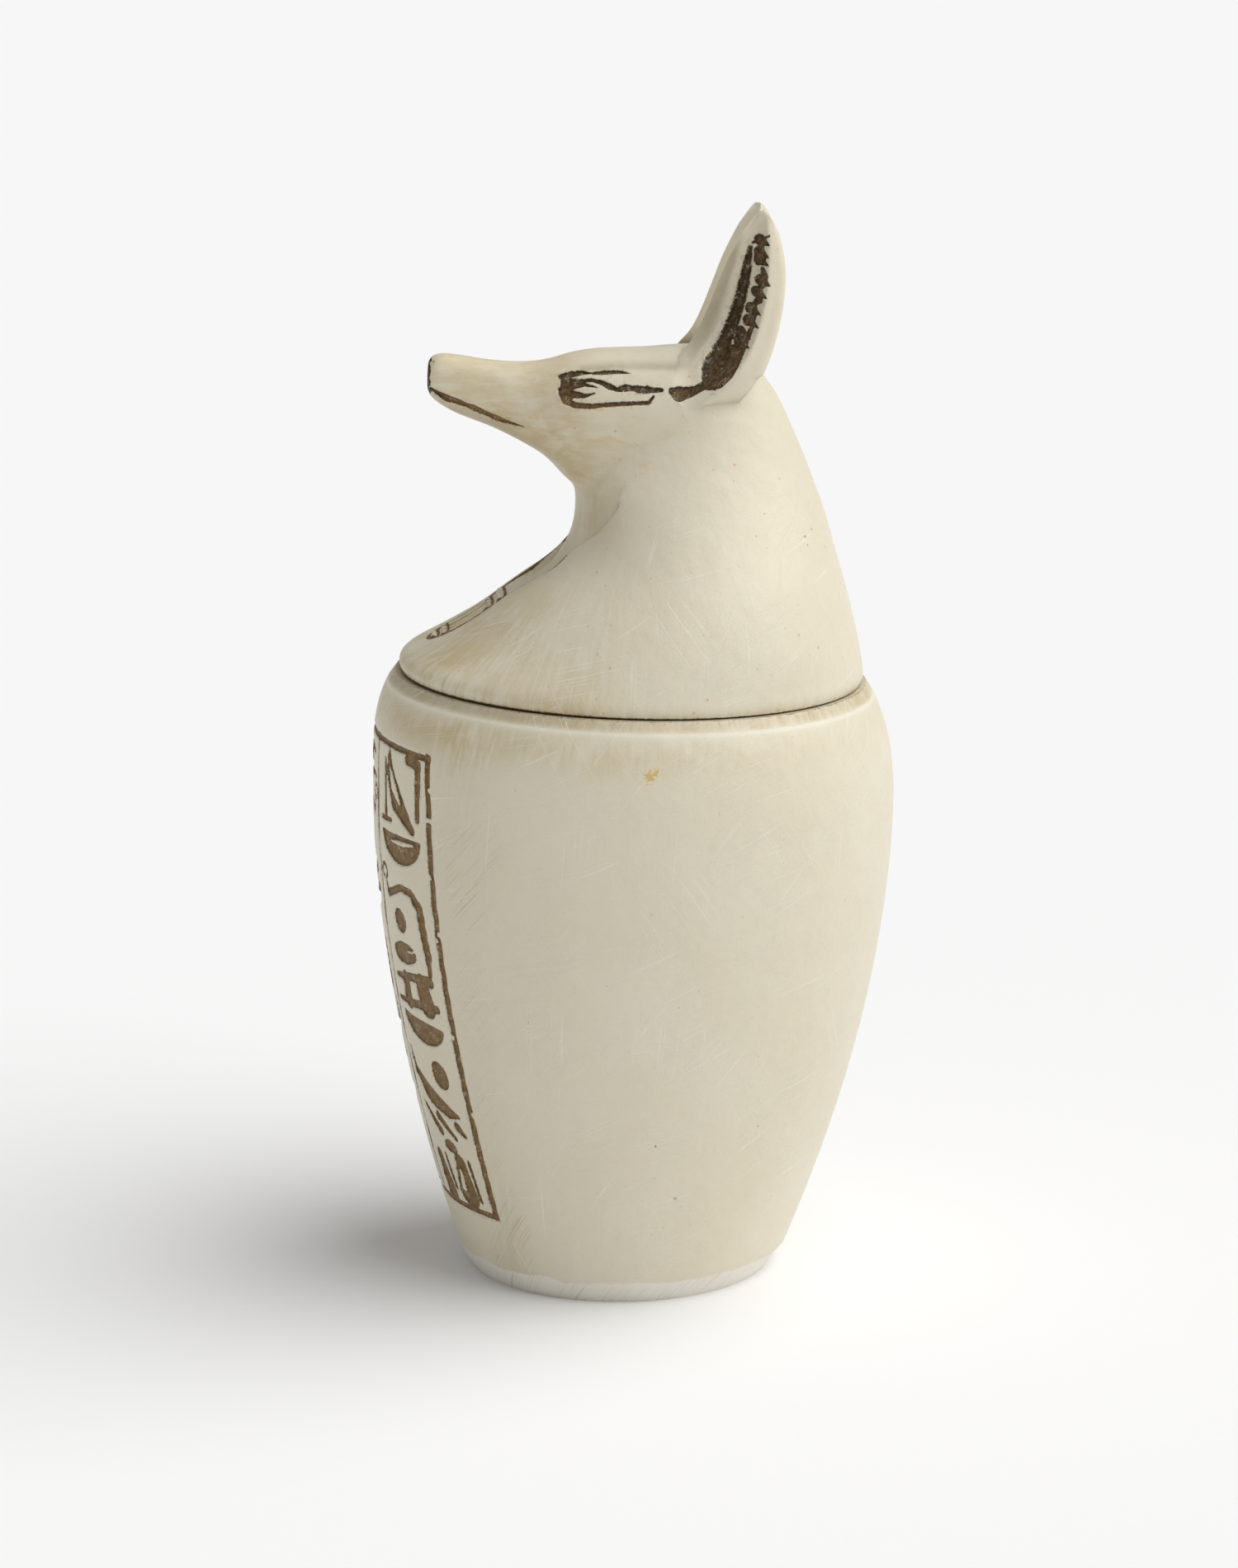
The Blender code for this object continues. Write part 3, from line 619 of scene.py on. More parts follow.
@dataclass(frozen=True)
class JarBody:
    """The hollow body: a swelling side, a crisp shoulder ridge and a mouth ring inside."""

    height: float = 113.5 * MM
    foot_radius: float = 28.6 * MM
    foot_chamfer_height: float = 2.6 * MM
    foot_chamfer_depth: float = 1.6 * MM
    side_foot_radius: float = 29.7 * MM
    belly_radius: float = 48.7 * MM
    belly_height: float = 90.0 * MM
    lower_swell: float = 1.78
    shoulder_round: float = 3.2
    ridge_radius: float = 45.3 * MM
    ridge_drop: float = 2.1 * MM
    rim_radius: float = 43.8 * MM
    wall: float = 7.0 * MM
    floor: float = 8.0 * MM
    floor_corner: float = 6.0 * MM
    mouth_radius: float = 34.0 * MM
    neck_length: float = 9.0 * MM
    inner_shoulder: float = 9.0 * MM
    lean_deg: float = 1.7
    middle_back: float = 0.4 * MM
    shoulder_forward: float = 1.2 * MM
    below_ground: float = -3.0 * MM
    ridge_worn: float = 0.5 * MM
    mouth_chamfer: float = 0.5 * MM
    panel_margin: float = 2.0 * MM
    coarse_step: float = 1.2 * MM
    fine_step: float = 0.40 * MM
    fine_margin_deg: float = 2.5
    coarse_step_deg: float = 3.4
    panel: Panel = Panel()

    def side_radius(self, height: float) -> float:
        """Outer radius at a height up the axis.

        Args:
            height: The height, from below the foot to the ridge.

        Returns:
            The radius.
        """
        span = self.belly_radius - self.side_foot_radius
        if height < self.belly_height:
            share = (self.belly_height - height) / self.belly_height
            return self.belly_radius - span * share**self.lower_swell
        ridge = self.height - self.ridge_drop
        share = min(1.0, (height - self.belly_height) / (ridge - self.belly_height))
        return self.belly_radius - (self.belly_radius - self.ridge_radius) * share**self.shoulder_round

    def bow(self, height: Array) -> Array:
        """How far back the middle lies: back at the waist, forward at the rim.

        Args:
            height: Heights up the axis.

        Returns:
            Distances along +Y.
        """
        height = np.asarray(height, float)
        waist = self.middle_back * np.sin(math.pi * np.clip(height / self.belly_height, 0, 1))
        rise = smooth_step(height, self.belly_height, self.height)
        return np.where(height < self.belly_height, waist, -self.shoulder_forward * rise)

    def outline(self) -> list[Point]:
        """Half the body's outline, from under the foot round the rim to the middle of the floor.

        Returns:
            Points of (radius, height).
        """
        ridge = self.height - self.ridge_drop
        low, high = self.panel.bottom - self.panel_margin, self.panel.top + self.panel_margin
        heights = list(np.arange(self.below_ground, low, self.coarse_step))
        heights += list(np.arange(low, high, self.fine_step))
        heights += list(np.linspace(high, ridge - self.ridge_worn, 12))
        points = [(0.0, self.below_ground)]
        points += [(self.side_radius(h), h) for h in heights]
        points += self.rounded_ridge(ridge)
        chamfer = self.mouth_chamfer
        points += [(self.mouth_radius + chamfer, self.height), (self.mouth_radius, self.height - chamfer)]
        points += self.inside()
        return points + [(0.0, self.floor)]

    def rounded_ridge(self, ridge: float) -> list[Point]:
        """The worn ridge of the shoulder and the bevel up to the rim.

        Args:
            ridge: The ridge's height.

        Returns:
            Points of (radius, height).
        """
        before = (self.side_radius(ridge - self.ridge_worn), ridge - self.ridge_worn)
        corner = (self.ridge_radius, ridge)
        rim = (self.rim_radius, self.height)
        share = 0.45 * MM / math.hypot(self.ridge_radius - self.rim_radius, self.ridge_drop)
        after = tuple(a + share * (b - a) for a, b in zip(corner, rim))
        found = []
        for t in np.linspace(0, 1, 6)[1:]:
            weights = ((1 - t) ** 2, 2 * t * (1 - t), t**2)
            pairs = zip(before, corner, after)
            found.append(tuple(sum(w * v for w, v in zip(weights, trio)) for trio in pairs))
        bevel = np.linspace(0, 1, 5)[1:]
        found += [tuple(a + t * (b - a) for a, b in zip(after, rim)) for t in bevel]
        return found

    def inside(self) -> list[Point]:
        """The mouth ring, the inner wall and the rounded corner of the floor.

        Returns:
            Points of (radius, height), from the mouth down.
        """
        neck_foot = self.height - self.neck_length
        shoulder = neck_foot - self.inner_shoulder
        wide = self.side_radius(shoulder) - self.wall
        found = []
        for turn in np.linspace(0, math.pi / 2, 12):
            radius = wide - (wide - self.mouth_radius) * math.cos(turn)
            found.append((radius, neck_foot - self.inner_shoulder * math.sin(turn)))
        corner = self.floor + self.floor_corner
        for height in np.linspace(shoulder, corner, 24)[1:]:
            found.append((self.side_radius(height) - self.wall, height))
        foot_wide = self.side_radius(corner) - self.wall
        for turn in np.linspace(0, math.pi / 2, 9)[1:]:
            radius = foot_wide - self.floor_corner * (1 - math.cos(turn))
            found.append((radius, corner - self.floor_corner * math.sin(turn)))
        return found

    def carve(self, jar: bpy.types.Object) -> None:
        """Sinks the panel's signs and notes how far each vertex is from a stained edge.

        Args:
            jar: The jar, upright on its own axis.
        """
        places = places_of(jar)
        radius = np.hypot(places[:, 0], places[:, 1])
        angle = np.arctan2(places[:, 0], -places[:, 1])
        side = np.vectorize(self.side_radius)(np.clip(places[:, 2], self.below_ground, self.height))
        outside = (radius > side - 0.1 * MM) & (places[:, 2] < self.height - self.ridge_drop)
        near = outside & (np.abs(angle) < math.radians(self.panel.bottom_half_deg + 3))
        reach = 1.5 * self.panel_margin
        near &= (places[:, 2] > self.panel.bottom - reach) & (places[:, 2] < self.panel.top + reach)
        ink = np.full(len(places), UNSTAINED)
        gap = self.panel.distance(angle[near], side[near], places[near, 2], self.side_radius)
        ink[near] = gap / MM
        sunk = self.panel.depth * (1 - smooth_step(gap, -self.panel.bevel, 0.06 * MM))
        places[near, 0] -= sunk * np.sin(angle[near])
        places[near, 1] += sunk * np.cos(angle[near])
        set_places(jar, places)
        set_attribute(jar, "ink", np.minimum(ink, self.seat_stain_and_shadow(radius, places[:, 2])))
        set_attribute(jar, "patina", self.patina(angle, places[:, 2], outside))
        # Grey on the bevel under the lid, heaviest at the front: partly dirt, partly the lid's painted
        # shadow.
        bevel = smooth_step(places[:, 2], self.height - self.ridge_drop, self.height - 1 * MM)
        front = smooth_step(np.cos(angle), -0.35, 0.75)
        set_attribute(jar, "grime_and_shade", (0.26 + 0.54 * front) * bevel)

    def seat_stain_and_shadow(self, radius: Array, height: Array) -> Array:
        """Brown stain on the bevel, deepest beside the lid, where it also paints the shadow in the gap
        under the lid.

        Args:
            radius: Distances from the axis.
            height: Heights up the axis.

        Returns:
            Distances in millimetres, below 0 where stained.
        """
        outer = radius > self.rim_radius - 3 * MM
        drop = (self.height - height) / MM
        return np.where(outer & (drop < self.ridge_drop / MM - 0.25), 0.8 * drop + 0.02, UNSTAINED)

    def patina(self, angle: Array, height: Array, outside: Array) -> Array:
        """Where handling left the resin yellow, and a pale line along the shoulder ridge, partly rubbed
        wear and partly painted highlight.

        Args:
            angle: Angles from the front.
            height: Heights up the axis.
            outside: Which vertices lie on the outside.

        Returns:
            A share from 0 to 1 for each vertex.
        """
        ridge = self.height - self.ridge_drop
        under_ridge = bell(height, ridge - 4.0 * MM, 3.6 * MM)
        beside = bell(np.abs(angle), math.radians(50), math.radians(7))
        top = smooth_step(height, 70 * MM, 100 * MM)
        foot = 1 - smooth_step(height, 12 * MM, 30 * MM)
        front = 0.30 + 0.70 * smooth_step(np.cos(angle), -0.6, 0.5)
        spread = 0.85 * under_ridge * front + 0.35 * beside * (0.3 + top + foot)
        # Below 0 along the shoulder ridge: a pale line, partly rubbed wear, partly painted highlight.
        rubbed = bell(height, ridge - 0.1 * MM, 0.35 * MM)
        # Yellow on the bevel above the ridge: partly stain, partly the lid's painted shadow.
        bevel = smooth_step(height, ridge, ridge + 0.5 * MM)
        return np.where(outside, np.clip(spread, 0, 1), 0.2 + 0.7 * bevel) - 1.2 * rubbed

    def build(self) -> bpy.types.Object:
        """Makes the jar where it stands.

        Returns:
            The finished mesh, still without its material.
        """
        margin = math.radians(self.panel.bottom_half_deg + self.fine_margin_deg)
        fine = int(2 * margin * self.belly_radius / self.fine_step)
        coarse = int(math.degrees(math.tau - 2 * margin) / self.coarse_step_deg)
        arcs = ((-margin, margin, fine), (margin, math.tau - margin, coarse))
        jar = spun_solid("jar_body", self.outline(), arcs)
        self.lean(jar)
        self.grind_foot(jar)
        places = turned_back(places_of(jar), -self.lean_deg)
        places[:, 1] -= self.bow(places[:, 2])
        set_places(jar, places)
        self.carve(jar)
        self.lean(jar)
        return jar

    def lean(self, jar: bpy.types.Object) -> None:
        """Bows an upright jar and leans it back.

        Args:
            jar: The jar, upright on its own axis.
        """
        places = places_of(jar)
        places[:, 1] += self.bow(places[:, 2])
        set_places(jar, turned_back(places, self.lean_deg))

    def grind_foot(self, jar: bpy.types.Object) -> None:
        """Cuts the leaning body off flat at the ground and grinds the chamfer round the foot.

        Args:
            jar: The leaning jar, which reaches a little under the ground.
        """
        cut_flat(jar)
        places = places_of(jar)
        radius = np.hypot(places[:, 0], places[:, 1])
        widest = self.foot_radius + places[:, 2] * self.foot_chamfer_depth / self.foot_chamfer_height
        low = (places[:, 2] < 1.5 * self.foot_chamfer_height) & (radius > widest)
        places[low, :2] *= (widest[low] / radius[low])[:, None]
        set_places(jar, places)


# The lid


@dataclass(frozen=True)
class Ear:
    """One ear: level slices from the root to the tip, in shares of the lid's radius and height.

    Each row holds a height; then X and Y of the cup's front edge, of its rear lip and of the ear's back;
    then the cup's depth.
    """

    rows: tuple[tuple[float, ...], ...] = (
        (0.560, 0.230, 0.200, 0.270, 0.290, 0.230, 0.340, 0.000),
        (0.590, 0.326, 0.160, 0.340, 0.245, 0.300, 0.385, 0.002),
        (0.608, 0.320, 0.125, 0.356, 0.275, 0.330, 0.430, 0.018),
        (0.634, 0.294, 0.120, 0.364, 0.325, 0.335, 0.475, 0.036),
        (0.662, 0.246, 0.130, 0.360, 0.378, 0.325, 0.508, 0.053),
        (0.692, 0.186, 0.155, 0.348, 0.422, 0.308, 0.532, 0.066),
        (0.722, 0.150, 0.200, 0.334, 0.452, 0.292, 0.551, 0.073),
        (0.760, 0.150, 0.240, 0.316, 0.478, 0.276, 0.570, 0.076),
        (0.820, 0.156, 0.286, 0.290, 0.505, 0.252, 0.588, 0.072),
        (0.883, 0.164, 0.333, 0.258, 0.512, 0.226, 0.588, 0.058),
        (0.942, 0.172, 0.391, 0.218, 0.508, 0.198, 0.562, 0.036),
        (0.972, 0.176, 0.434, 0.188, 0.504, 0.180, 0.533, 0.016),
        (0.986, 0.180, 0.458, 0.186, 0.496, 0.178, 0.512, 0.006),
        (0.993, 0.181, 0.472, 0.184, 0.486, 0.178, 0.494, 0.001),
    )
    cup_first_row: int = 1
    cup_last_row: int = 8
    cup_depth: float = 1.25
    thickness: float = 0.055
    rim: float = 0.042
    cup_points: int = 22
    back_points: int = 5
    row_steps: int = 6
    cup_reach: float = 0.28
    cup_clearance: float = 0.002

    def section(self, row: Array) -> tuple[Array, Array, Array]:
        """One level slice.

        Args:
            row: A row of the table, or one between two.

        Returns:
            The cup from its front edge to its lip, the back of the ear, and the way the cup faces.
        """
        front, lip, back = (np.array(row[i:i + 2]) for i in (1, 3, 5))
        chord = lip - front
        length = np.hypot(*chord)
        along, outward = chord / length, np.array((chord[1], -chord[0])) / length
        rim = min(self.rim, 0.6 * length)
        shares = np.linspace(0.35 * rim / length, 1, self.cup_points)[:, None]
        depth = self.cup_depth * row[7]
        cup = front + shares * chord - depth * np.sin(math.pi * shares**0.72) * outward
        crest = 0.6 * lip + 0.4 * back + min(0.012, 0.08 * length) * outward
        middle = 0.5 * (front + back) - (depth + self.thickness) * outward
        rim_back = front - rim * outward + 0.45 * rim * along
        rim_front = front - 0.45 * rim * outward
        rear = eased((lip, crest, back, middle, rim_back, rim_front, cup[0]), self.back_points)[1:-1]
        return cup, rear, outward

    def form_rings(self) -> list[Array]:
        """Level rings of the ear, in shares.

        Returns:
            One array of X, Y and Z for each slice.
        """
        rings = []
        for row in eased(self.rows, self.row_steps):
            cup, rear, _ = self.section(row)
            outline = np.concatenate((cup, rear))
            rings.append(np.column_stack((outline, np.full(len(outline), row[0]))))
        return rings

    def cup_rings(self) -> list[Array]:
        """Level rings of what the cup leaves empty, out past the side of the head.

        Returns:
            One array of X, Y and Z for each slice.
        """
        rings = []
        for row in eased(self.rows[self.cup_first_row:self.cup_last_row + 1], self.row_steps):
            cup, _, outward = self.section(row)
            cup = cup + outward * self.cup_clearance
            outline = np.concatenate((cup, cup[::-1] + outward * self.cup_reach))
            rings.append(np.column_stack((outline, np.full(len(outline), row[0]))))
        return rings


@dataclass(frozen=True)
class JackalLid:
    """The lift-off lid: a jackal's head and neck over a cape, with a plug under the seat."""

    radius: float = 43.35 * MM
    height: float = 87.6 * MM
    gap: float = 0.3 * MM
    plug_radius: float = 32.4 * MM
    plug_depth: float = 6.0 * MM
    plug_chamfer: float = 1.0 * MM
    seat_sink: float = 3.0 * MM
    # How high, in millimetres, brown runs up the lid's lowest edge: partly stain, partly painted shadow in
    # the gap.
    seat_stain_and_shadow: float = 0.25
    uncarved_seat: float = 0.5 * MM
    head_from: float = 0.58
    sculpt_voxel: float = 0.66 * MM
    sculpt_passes: int = 13
    root_top: float = 0.66
    root_passes: int = 9
    refined_margins: tuple[float, ...] = (0.75 * MM, 0.34 * MM)
    bust_points: int = 112
    head_points: int = 64
    ring_steps: int = 4
    plug_steps: int = 120
    ears_from: float = 0.57
    ear_passes: int = 2
    head_squareness: float = 2.35
    stroke_depth: float = 0.38 * MM
    strip_half_width: float = 5.4 * MM
    strip_flare: float = 4.0 * MM
    strip_depth: float = 0.8 * MM
    strip_top: float = -0.340
    strip_foot: float = -0.880
    strip_bars: tuple[float, ...] = (1.3, 3.1, 11.0, 13.3)
    rib_pitch: float = 2.1 * MM
    ear: Ear = Ear()
    bust: tuple[tuple[float, ...], ...] = (
        (-0.040, -0.970, 0.975, 0.975),
        (0.000, -0.980, 0.986, 0.986),
        (0.007, -0.994, 0.997, 0.997),
        (0.018, -1.000, 1.000, 1.000),
        (0.036, -0.972, 0.992, 0.992),
        (0.064, -0.868, 0.982, 0.978),
        (0.116, -0.692, 0.957, 0.942),
        (0.174, -0.540, 0.925, 0.885),
        (0.231, -0.383, 0.888, 0.810),
        (0.277, -0.300, 0.858, 0.735),
        (0.322, -0.268, 0.830, 0.660),
        (0.368, -0.262, 0.798, 0.590),
        (0.413, -0.262, 0.762, 0.530),
        (0.470, -0.200, 0.714, 0.465),
        (0.527, -0.100, 0.661, 0.410),
        (0.584, 0.030, 0.605, 0.355),
        (0.620, 0.130, 0.560, 0.300),
        (0.640, 0.220, 0.500, 0.220),
    )
    head: tuple[tuple[float, ...], ...] = (
        (-0.900, 0.597, 0.645, 0.050),
        (-0.890, 0.581, 0.660, 0.080),
        (-0.850, 0.564, 0.670, 0.093),
        (-0.770, 0.543, 0.667, 0.102),
        (-0.617, 0.516, 0.657, 0.124),
        (-0.480, 0.484, 0.656, 0.160),
        (-0.385, 0.456, 0.663, 0.205),
        (-0.295, 0.410, 0.677, 0.250),
        (-0.200, 0.380, 0.686, 0.282),
        (-0.085, 0.370, 0.690, 0.305),
        (0.030, 0.370, 0.693, 0.322),
        (0.145, 0.380, 0.699, 0.335),
        (0.260, 0.400, 0.701, 0.340),
        (0.375, 0.430, 0.690, 0.330),
        (0.480, 0.470, 0.663, 0.295),
        (0.550, 0.510, 0.625, 0.230),
    )
    cape_edge: tuple[Point, ...] = (
        (0.150, 0.105),
        (0.200, 0.144),
        (0.231, 0.175),
        (0.281, 0.217),
        (0.325, 0.363),
        (0.362, 0.408),
        (0.391, 0.424),
        (0.409, 0.400),
    )
    brow: Line = (
        ((-0.338, 0.637, 0.9), (-0.298, 0.644, 1.1), (-0.250, 0.650, 1.0), (-0.212, 0.650, 0.3)),
        ((-0.203, 0.650, 0.6), (-0.161, 0.653, 1.0), (-0.094, 0.655, 0.8), (-0.044, 0.652, 0.1)),
    )
    eye: Line = (
        ((-0.314, 0.629, 2.2), (-0.313, 0.608, 2.4), (-0.300, 0.600, 1.4)),
        ((-0.304, 0.630, 1.3), (-0.252, 0.633, 0.7), (-0.207, 0.636, 0.7), (-0.167, 0.632, 0.8)),
        ((-0.167, 0.632, 0.8), (-0.132, 0.625, 1.1), (-0.083, 0.617, 0.3)),
        ((-0.295, 0.624, 1.8), (-0.239, 0.627, 0.8), (-0.184, 0.622, 0.15)),
        ((-0.297, 0.606, 1.6), (-0.238, 0.604, 0.8), (-0.193, 0.611, 0.15)),
        ((-0.105, 0.622, 0.4), (-0.070, 0.624, 1.3), (-0.040, 0.624, 0.9), (-0.018, 0.623, 1.3)),
        ((-0.018, 0.623, 1.3), (0.006, 0.622, 1.2), (0.026, 0.623, 1.4), (0.050, 0.622, 0.9)),
        ((0.050, 0.622, 0.9), (0.082, 0.623, 0.8)),
        ((-0.337, 0.612, 1.2), (-0.318, 0.592, 1.4), (-0.276, 0.584, 1.1), (-0.211, 0.584, 0.9)),
        ((-0.211, 0.584, 0.9), (-0.146, 0.589, 0.8), (-0.068, 0.593, 0.8), (0.029, 0.597, 0.7)),
        ((0.029, 0.597, 0.7), (0.050, 0.610, 0.5)),
    )
    ear_root: Line = (
        ((0.128, 0.622, 1.4), (0.156, 0.617, 2.7), (0.200, 0.621, 1.7), (0.250, 0.633, 1.3)),
    )
    mouth: Line = (
        ((-0.886, 0.599, 0.5), (-0.855, 0.590, 0.9), (-0.818, 0.581, 1.3), (-0.770, 0.574, 1.1)),
        ((-0.770, 0.574, 1.1), (-0.735, 0.568, 0.8), (-0.700, 0.562, 1.2), (-0.640, 0.550, 0.9)),
        ((-0.640, 0.550, 0.9), (-0.600, 0.542, 1.1), (-0.560, 0.536, 0.8), (-0.488, 0.528, 0.15)),
    )
    nose_stain: float = -0.886
    nose_middle: float = 54.4
    crown_ridge: tuple[Point, ...] = ((-0.30, 0.664), (-0.10, 0.676), (0.13, 0.680))
    crown_half: float = 0.135
    crown_low: float = 0.640
    crown_top: float = 0.703
    ear_groove: Line = (
        ((0.443, 0.916, 0.8), (0.432, 0.882, 1.6), (0.421, 0.846, 2.0), (0.406, 0.806, 2.2)),
        ((0.406, 0.806, 2.2), (0.384, 0.767, 2.2), (0.355, 0.729, 2.3), (0.322, 0.693, 2.9)),
        ((0.322, 0.693, 2.9), (0.294, 0.665, 3.7), (0.270, 0.640, 2.2)),
    )
    ear_fold: Line = (
        ((0.440, 0.945, 1.0), (0.412, 0.890, 1.0), (0.392, 0.846, 1.0), (0.373, 0.806, 1.0)),
        ((0.373, 0.806, 1.0), (0.350, 0.767, 1.0), (0.318, 0.726, 1.1), (0.270, 0.690, 1.2)),
        ((0.270, 0.690, 1.2), (0.232, 0.662, 1.0)),
    )
    ear_band: Line = (
        ((0.452, 0.926, 0.5), (0.490, 0.936, 0.5), (0.514, 0.944, 0.4)),
        ((0.486, 0.926, 0.8), (0.480, 0.912, 1.5), (0.487, 0.899, 1.5), (0.481, 0.885, 0.4)),
        ((0.492, 0.876, 0.7), (0.498, 0.862, 1.3), (0.490, 0.846, 1.4), (0.484, 0.831, 0.4)),
        ((0.486, 0.824, 0.8), (0.480, 0.812, 1.2), (0.462, 0.802, 0.7), (0.466, 0.788, 0.9)),
        ((0.466, 0.788, 0.9), (0.450, 0.772, 1.4), (0.455, 0.757, 0.5), (0.440, 0.742, 0.9)),
        ((0.440, 0.742, 0.9), (0.418, 0.722, 1.5), (0.396, 0.705, 2.0), (0.374, 0.686, 2.4)),
        ((0.374, 0.686, 2.4), (0.345, 0.667, 2.9), (0.310, 0.650, 3.0), (0.280, 0.640, 2.0)),
    )
    tooth_tips: tuple[Point, ...] = (
        (0.519, 0.924),
        (0.517, 0.899),
        (0.516, 0.883),
        (0.525, 0.843),
        (0.511, 0.818),
        (0.488, 0.783),
        (0.479, 0.758),
        (0.449, 0.733),
        (0.443, 0.716),
        (0.416, 0.695),
        (0.386, 0.672),
        (0.352, 0.652),
        (0.308, 0.630),
    )
    tooth_root: float = 0.038
    tooth_rise: float = 0.009
    tooth_width: float = 2.1 * MM
    groove_depth: float = 0.55 * MM
    groove_softness: float = 0.40
    fold_height: float = 0.40 * MM
    band_depth: float = 0.22 * MM

    def scaled(self, rings: Sequence[Array], side: int = 1) -> list[Array]:
        """Rings in metres from rings in shares."""
        return [ring * np.array((side * self.radius, self.radius, self.height)) for ring in rings]

    def shares(self, places: Array) -> tuple[Array, Array, Array]:
        """Places in shares of the lid's size."""
        across, along = np.abs(places[:, 0]) / self.radius, places[:, 1] / self.radius
        return across, along, places[:, 2] / self.height

    def bust_rings(self) -> list[Array]:
        """Level rings of the shoulders and neck, in shares.

        Returns:
            One array for each slice, from the seat up.
        """
        turns = np.arange(self.bust_points) * math.tau / self.bust_points
        rings = []
        for level, front, back, half in eased(self.bust, self.ring_steps):
            middle, reach = 0.5 * (front + back), 0.5 * (back - front)
            columns = (half * np.sin(turns), middle - reach * np.cos(turns), np.full(len(turns), level))
            rings.append(np.column_stack(columns))
        return rings

    def head_rings(self) -> list[Array]:
        """Upright rings of the head, in shares.

        Returns:
            One array for each slice, from the nose back.
        """
        turns = np.arange(self.head_points) * math.tau / self.head_points
        power = 2 / self.head_squareness
        across = np.sign(np.cos(turns)) * np.abs(np.cos(turns)) ** power
        upright = np.sign(np.sin(turns)) * np.abs(np.sin(turns)) ** power
        rings = []
        for place, low, high, half in eased(self.head, self.ring_steps):
            middle, reach = 0.5 * (low + high), 0.5 * (high - low)
            columns = (half * across, np.full(len(turns), place), middle + reach * upright)
            rings.append(np.column_stack(columns))
        return rings

    def skin(self) -> bpy.types.Object:
        """Bust, head and ears in one skin, cut flat at the seat, with the plug under it.

        Returns:
            The lid's mesh before it is carved, in its own frame.
        """
        lid = extruded_skin("jackal_lid", self.scaled(self.bust_rings()))
        head = extruded_skin("head_form", self.scaled(self.head_rings()))
        pick(lid)
        head.select_set(True)
        bpy.ops.object.join()
        apply_modifier(lid, "REMESH", mode="VOXEL", voxel_size=self.sculpt_voxel)
        apply_modifier(lid, "SMOOTH", factor=0.5, iterations=self.sculpt_passes)
        for side in (1, -1):
            steps = ((self.ear.form_rings(), "UNION"), (self.ear.cup_rings(), "DIFFERENCE"))
            for rings, operation in steps:
                form = extruded_skin("ear_form", self.scaled(rings, side))
                apply_modifier(lid, "BOOLEAN", operation=operation, solver="EXACT", object=form)
                remove(form)
        self.soften_roots(lid)
        cut_flat(lid)
        plug = spun_solid("plug_form", self.plug_outline(), ((0.0, math.tau, self.plug_steps),))
        apply_modifier(lid, "BOOLEAN", operation="UNION", solver="EXACT", object=plug)
        remove(plug)
        return lid

    def soften_roots(self, lid: bpy.types.Object) -> None:
        """Rounds the ears a little, and their roots more, where they run into the head.

        Args:
            lid: The lid's skin.
        """
        pick(lid)
        bpy.ops.object.mode_set(mode="EDIT")
        for high, passes in ((1.1, self.ear_passes), (self.root_top, self.root_passes)):
            places = places_of(lid)
            level = places[:, 2] / self.height
            bpy.ops.mesh.select_all(action="DESELECT")
            skin = bmesh.from_edit_mesh(lid.data)
            chosen = (level > self.ears_from) & (level < high) & (places[:, 1] > 0.06 * self.radius)
            for vert in skin.verts:
                vert.select_set(bool(chosen[vert.index]))
            skin.select_flush(True)
            bmesh.update_edit_mesh(lid.data)
            bpy.ops.mesh.vertices_smooth(factor=0.5, repeat=passes)
        bpy.ops.object.mode_set(mode="OBJECT")

    def plug_outline(self) -> list[Point]:
        """Half the plug's outline, from under it up into the lid.

        Returns:
            Points of (radius, height).
        """
        return [
            (0.0, -self.plug_depth),
            (self.plug_radius - self.plug_chamfer, -self.plug_depth),
            (self.plug_radius, self.plug_chamfer - self.plug_depth),
            (self.plug_radius, self.seat_sink),
            (0.0, self.seat_sink),
        ]

    def refine(self, lid: bpy.types.Object) -> None:
        """Divides the skin more finely where the face, the mouth and the chest strip are carved.

        Args:
            lid: The lid's skin.
        """
        for margin in self.refined_margins:
            self.divide(lid, self.near_carving(places_of(lid), margin))
        self.divide(lid, self.near_strip(places_of(lid)))

    def divide(self, lid: bpy.types.Object, chosen: Array) -> None:
        """Halves every face of a zone and smooths the new corners.

        Args:
            lid: The lid's skin.
            chosen: Which vertices belong to the zone.
        """
        pick(lid)
        bpy.ops.object.mode_set(mode="EDIT")
        bpy.ops.mesh.select_all(action="DESELECT")
        skin = bmesh.from_edit_mesh(lid.data)
        for face in skin.faces:
            if len(face.verts) <= MOST_CORNERS and all(chosen[vert.index] for vert in face.verts):
                face.select_set(True)
        bmesh.update_edit_mesh(lid.data)
        bpy.ops.mesh.subdivide(number_cuts=1)
        bpy.ops.mesh.vertices_smooth(factor=0.5, repeat=3)
        bpy.ops.object.mode_set(mode="OBJECT")

    def near_carving(self, places: Array, margin: float) -> Array:
        """Places on the sides of the head and in the ears near the edge of a carved stroke.

        Args:
            places: Rows of X, Y and Z.
            margin: How near.

        Returns:
            Which rows are near.
        """
        strokes = self.drawn(self.brow, self.eye, self.mouth, self.ear_root, self.ear_band, self.ear_groove)
        strokes += self.teeth()
        head = (places[:, 2] > 0.50 * self.height) & (np.abs(places[:, 0]) > 0.03 * self.radius)
        near = np.full(len(places), False)
        near[head] = np.abs(nearest_of(strokes, places[head, 1], places[head, 2])) < margin
        return near

    def near_strip(self, places: Array) -> Array:
        """Places on the chest near the sunk strip.

        Args:
            places: Rows of X, Y and Z.

        Returns:
            Which rows are near.
        """
        low = (places[:, 2] > 2 * MM) & (places[:, 2] < 0.3 * self.height)
        front = places[:, 1] < (self.strip_top + 0.05) * self.radius
        return low & front & (self.strip_distance(places) < 1.6 * MM)

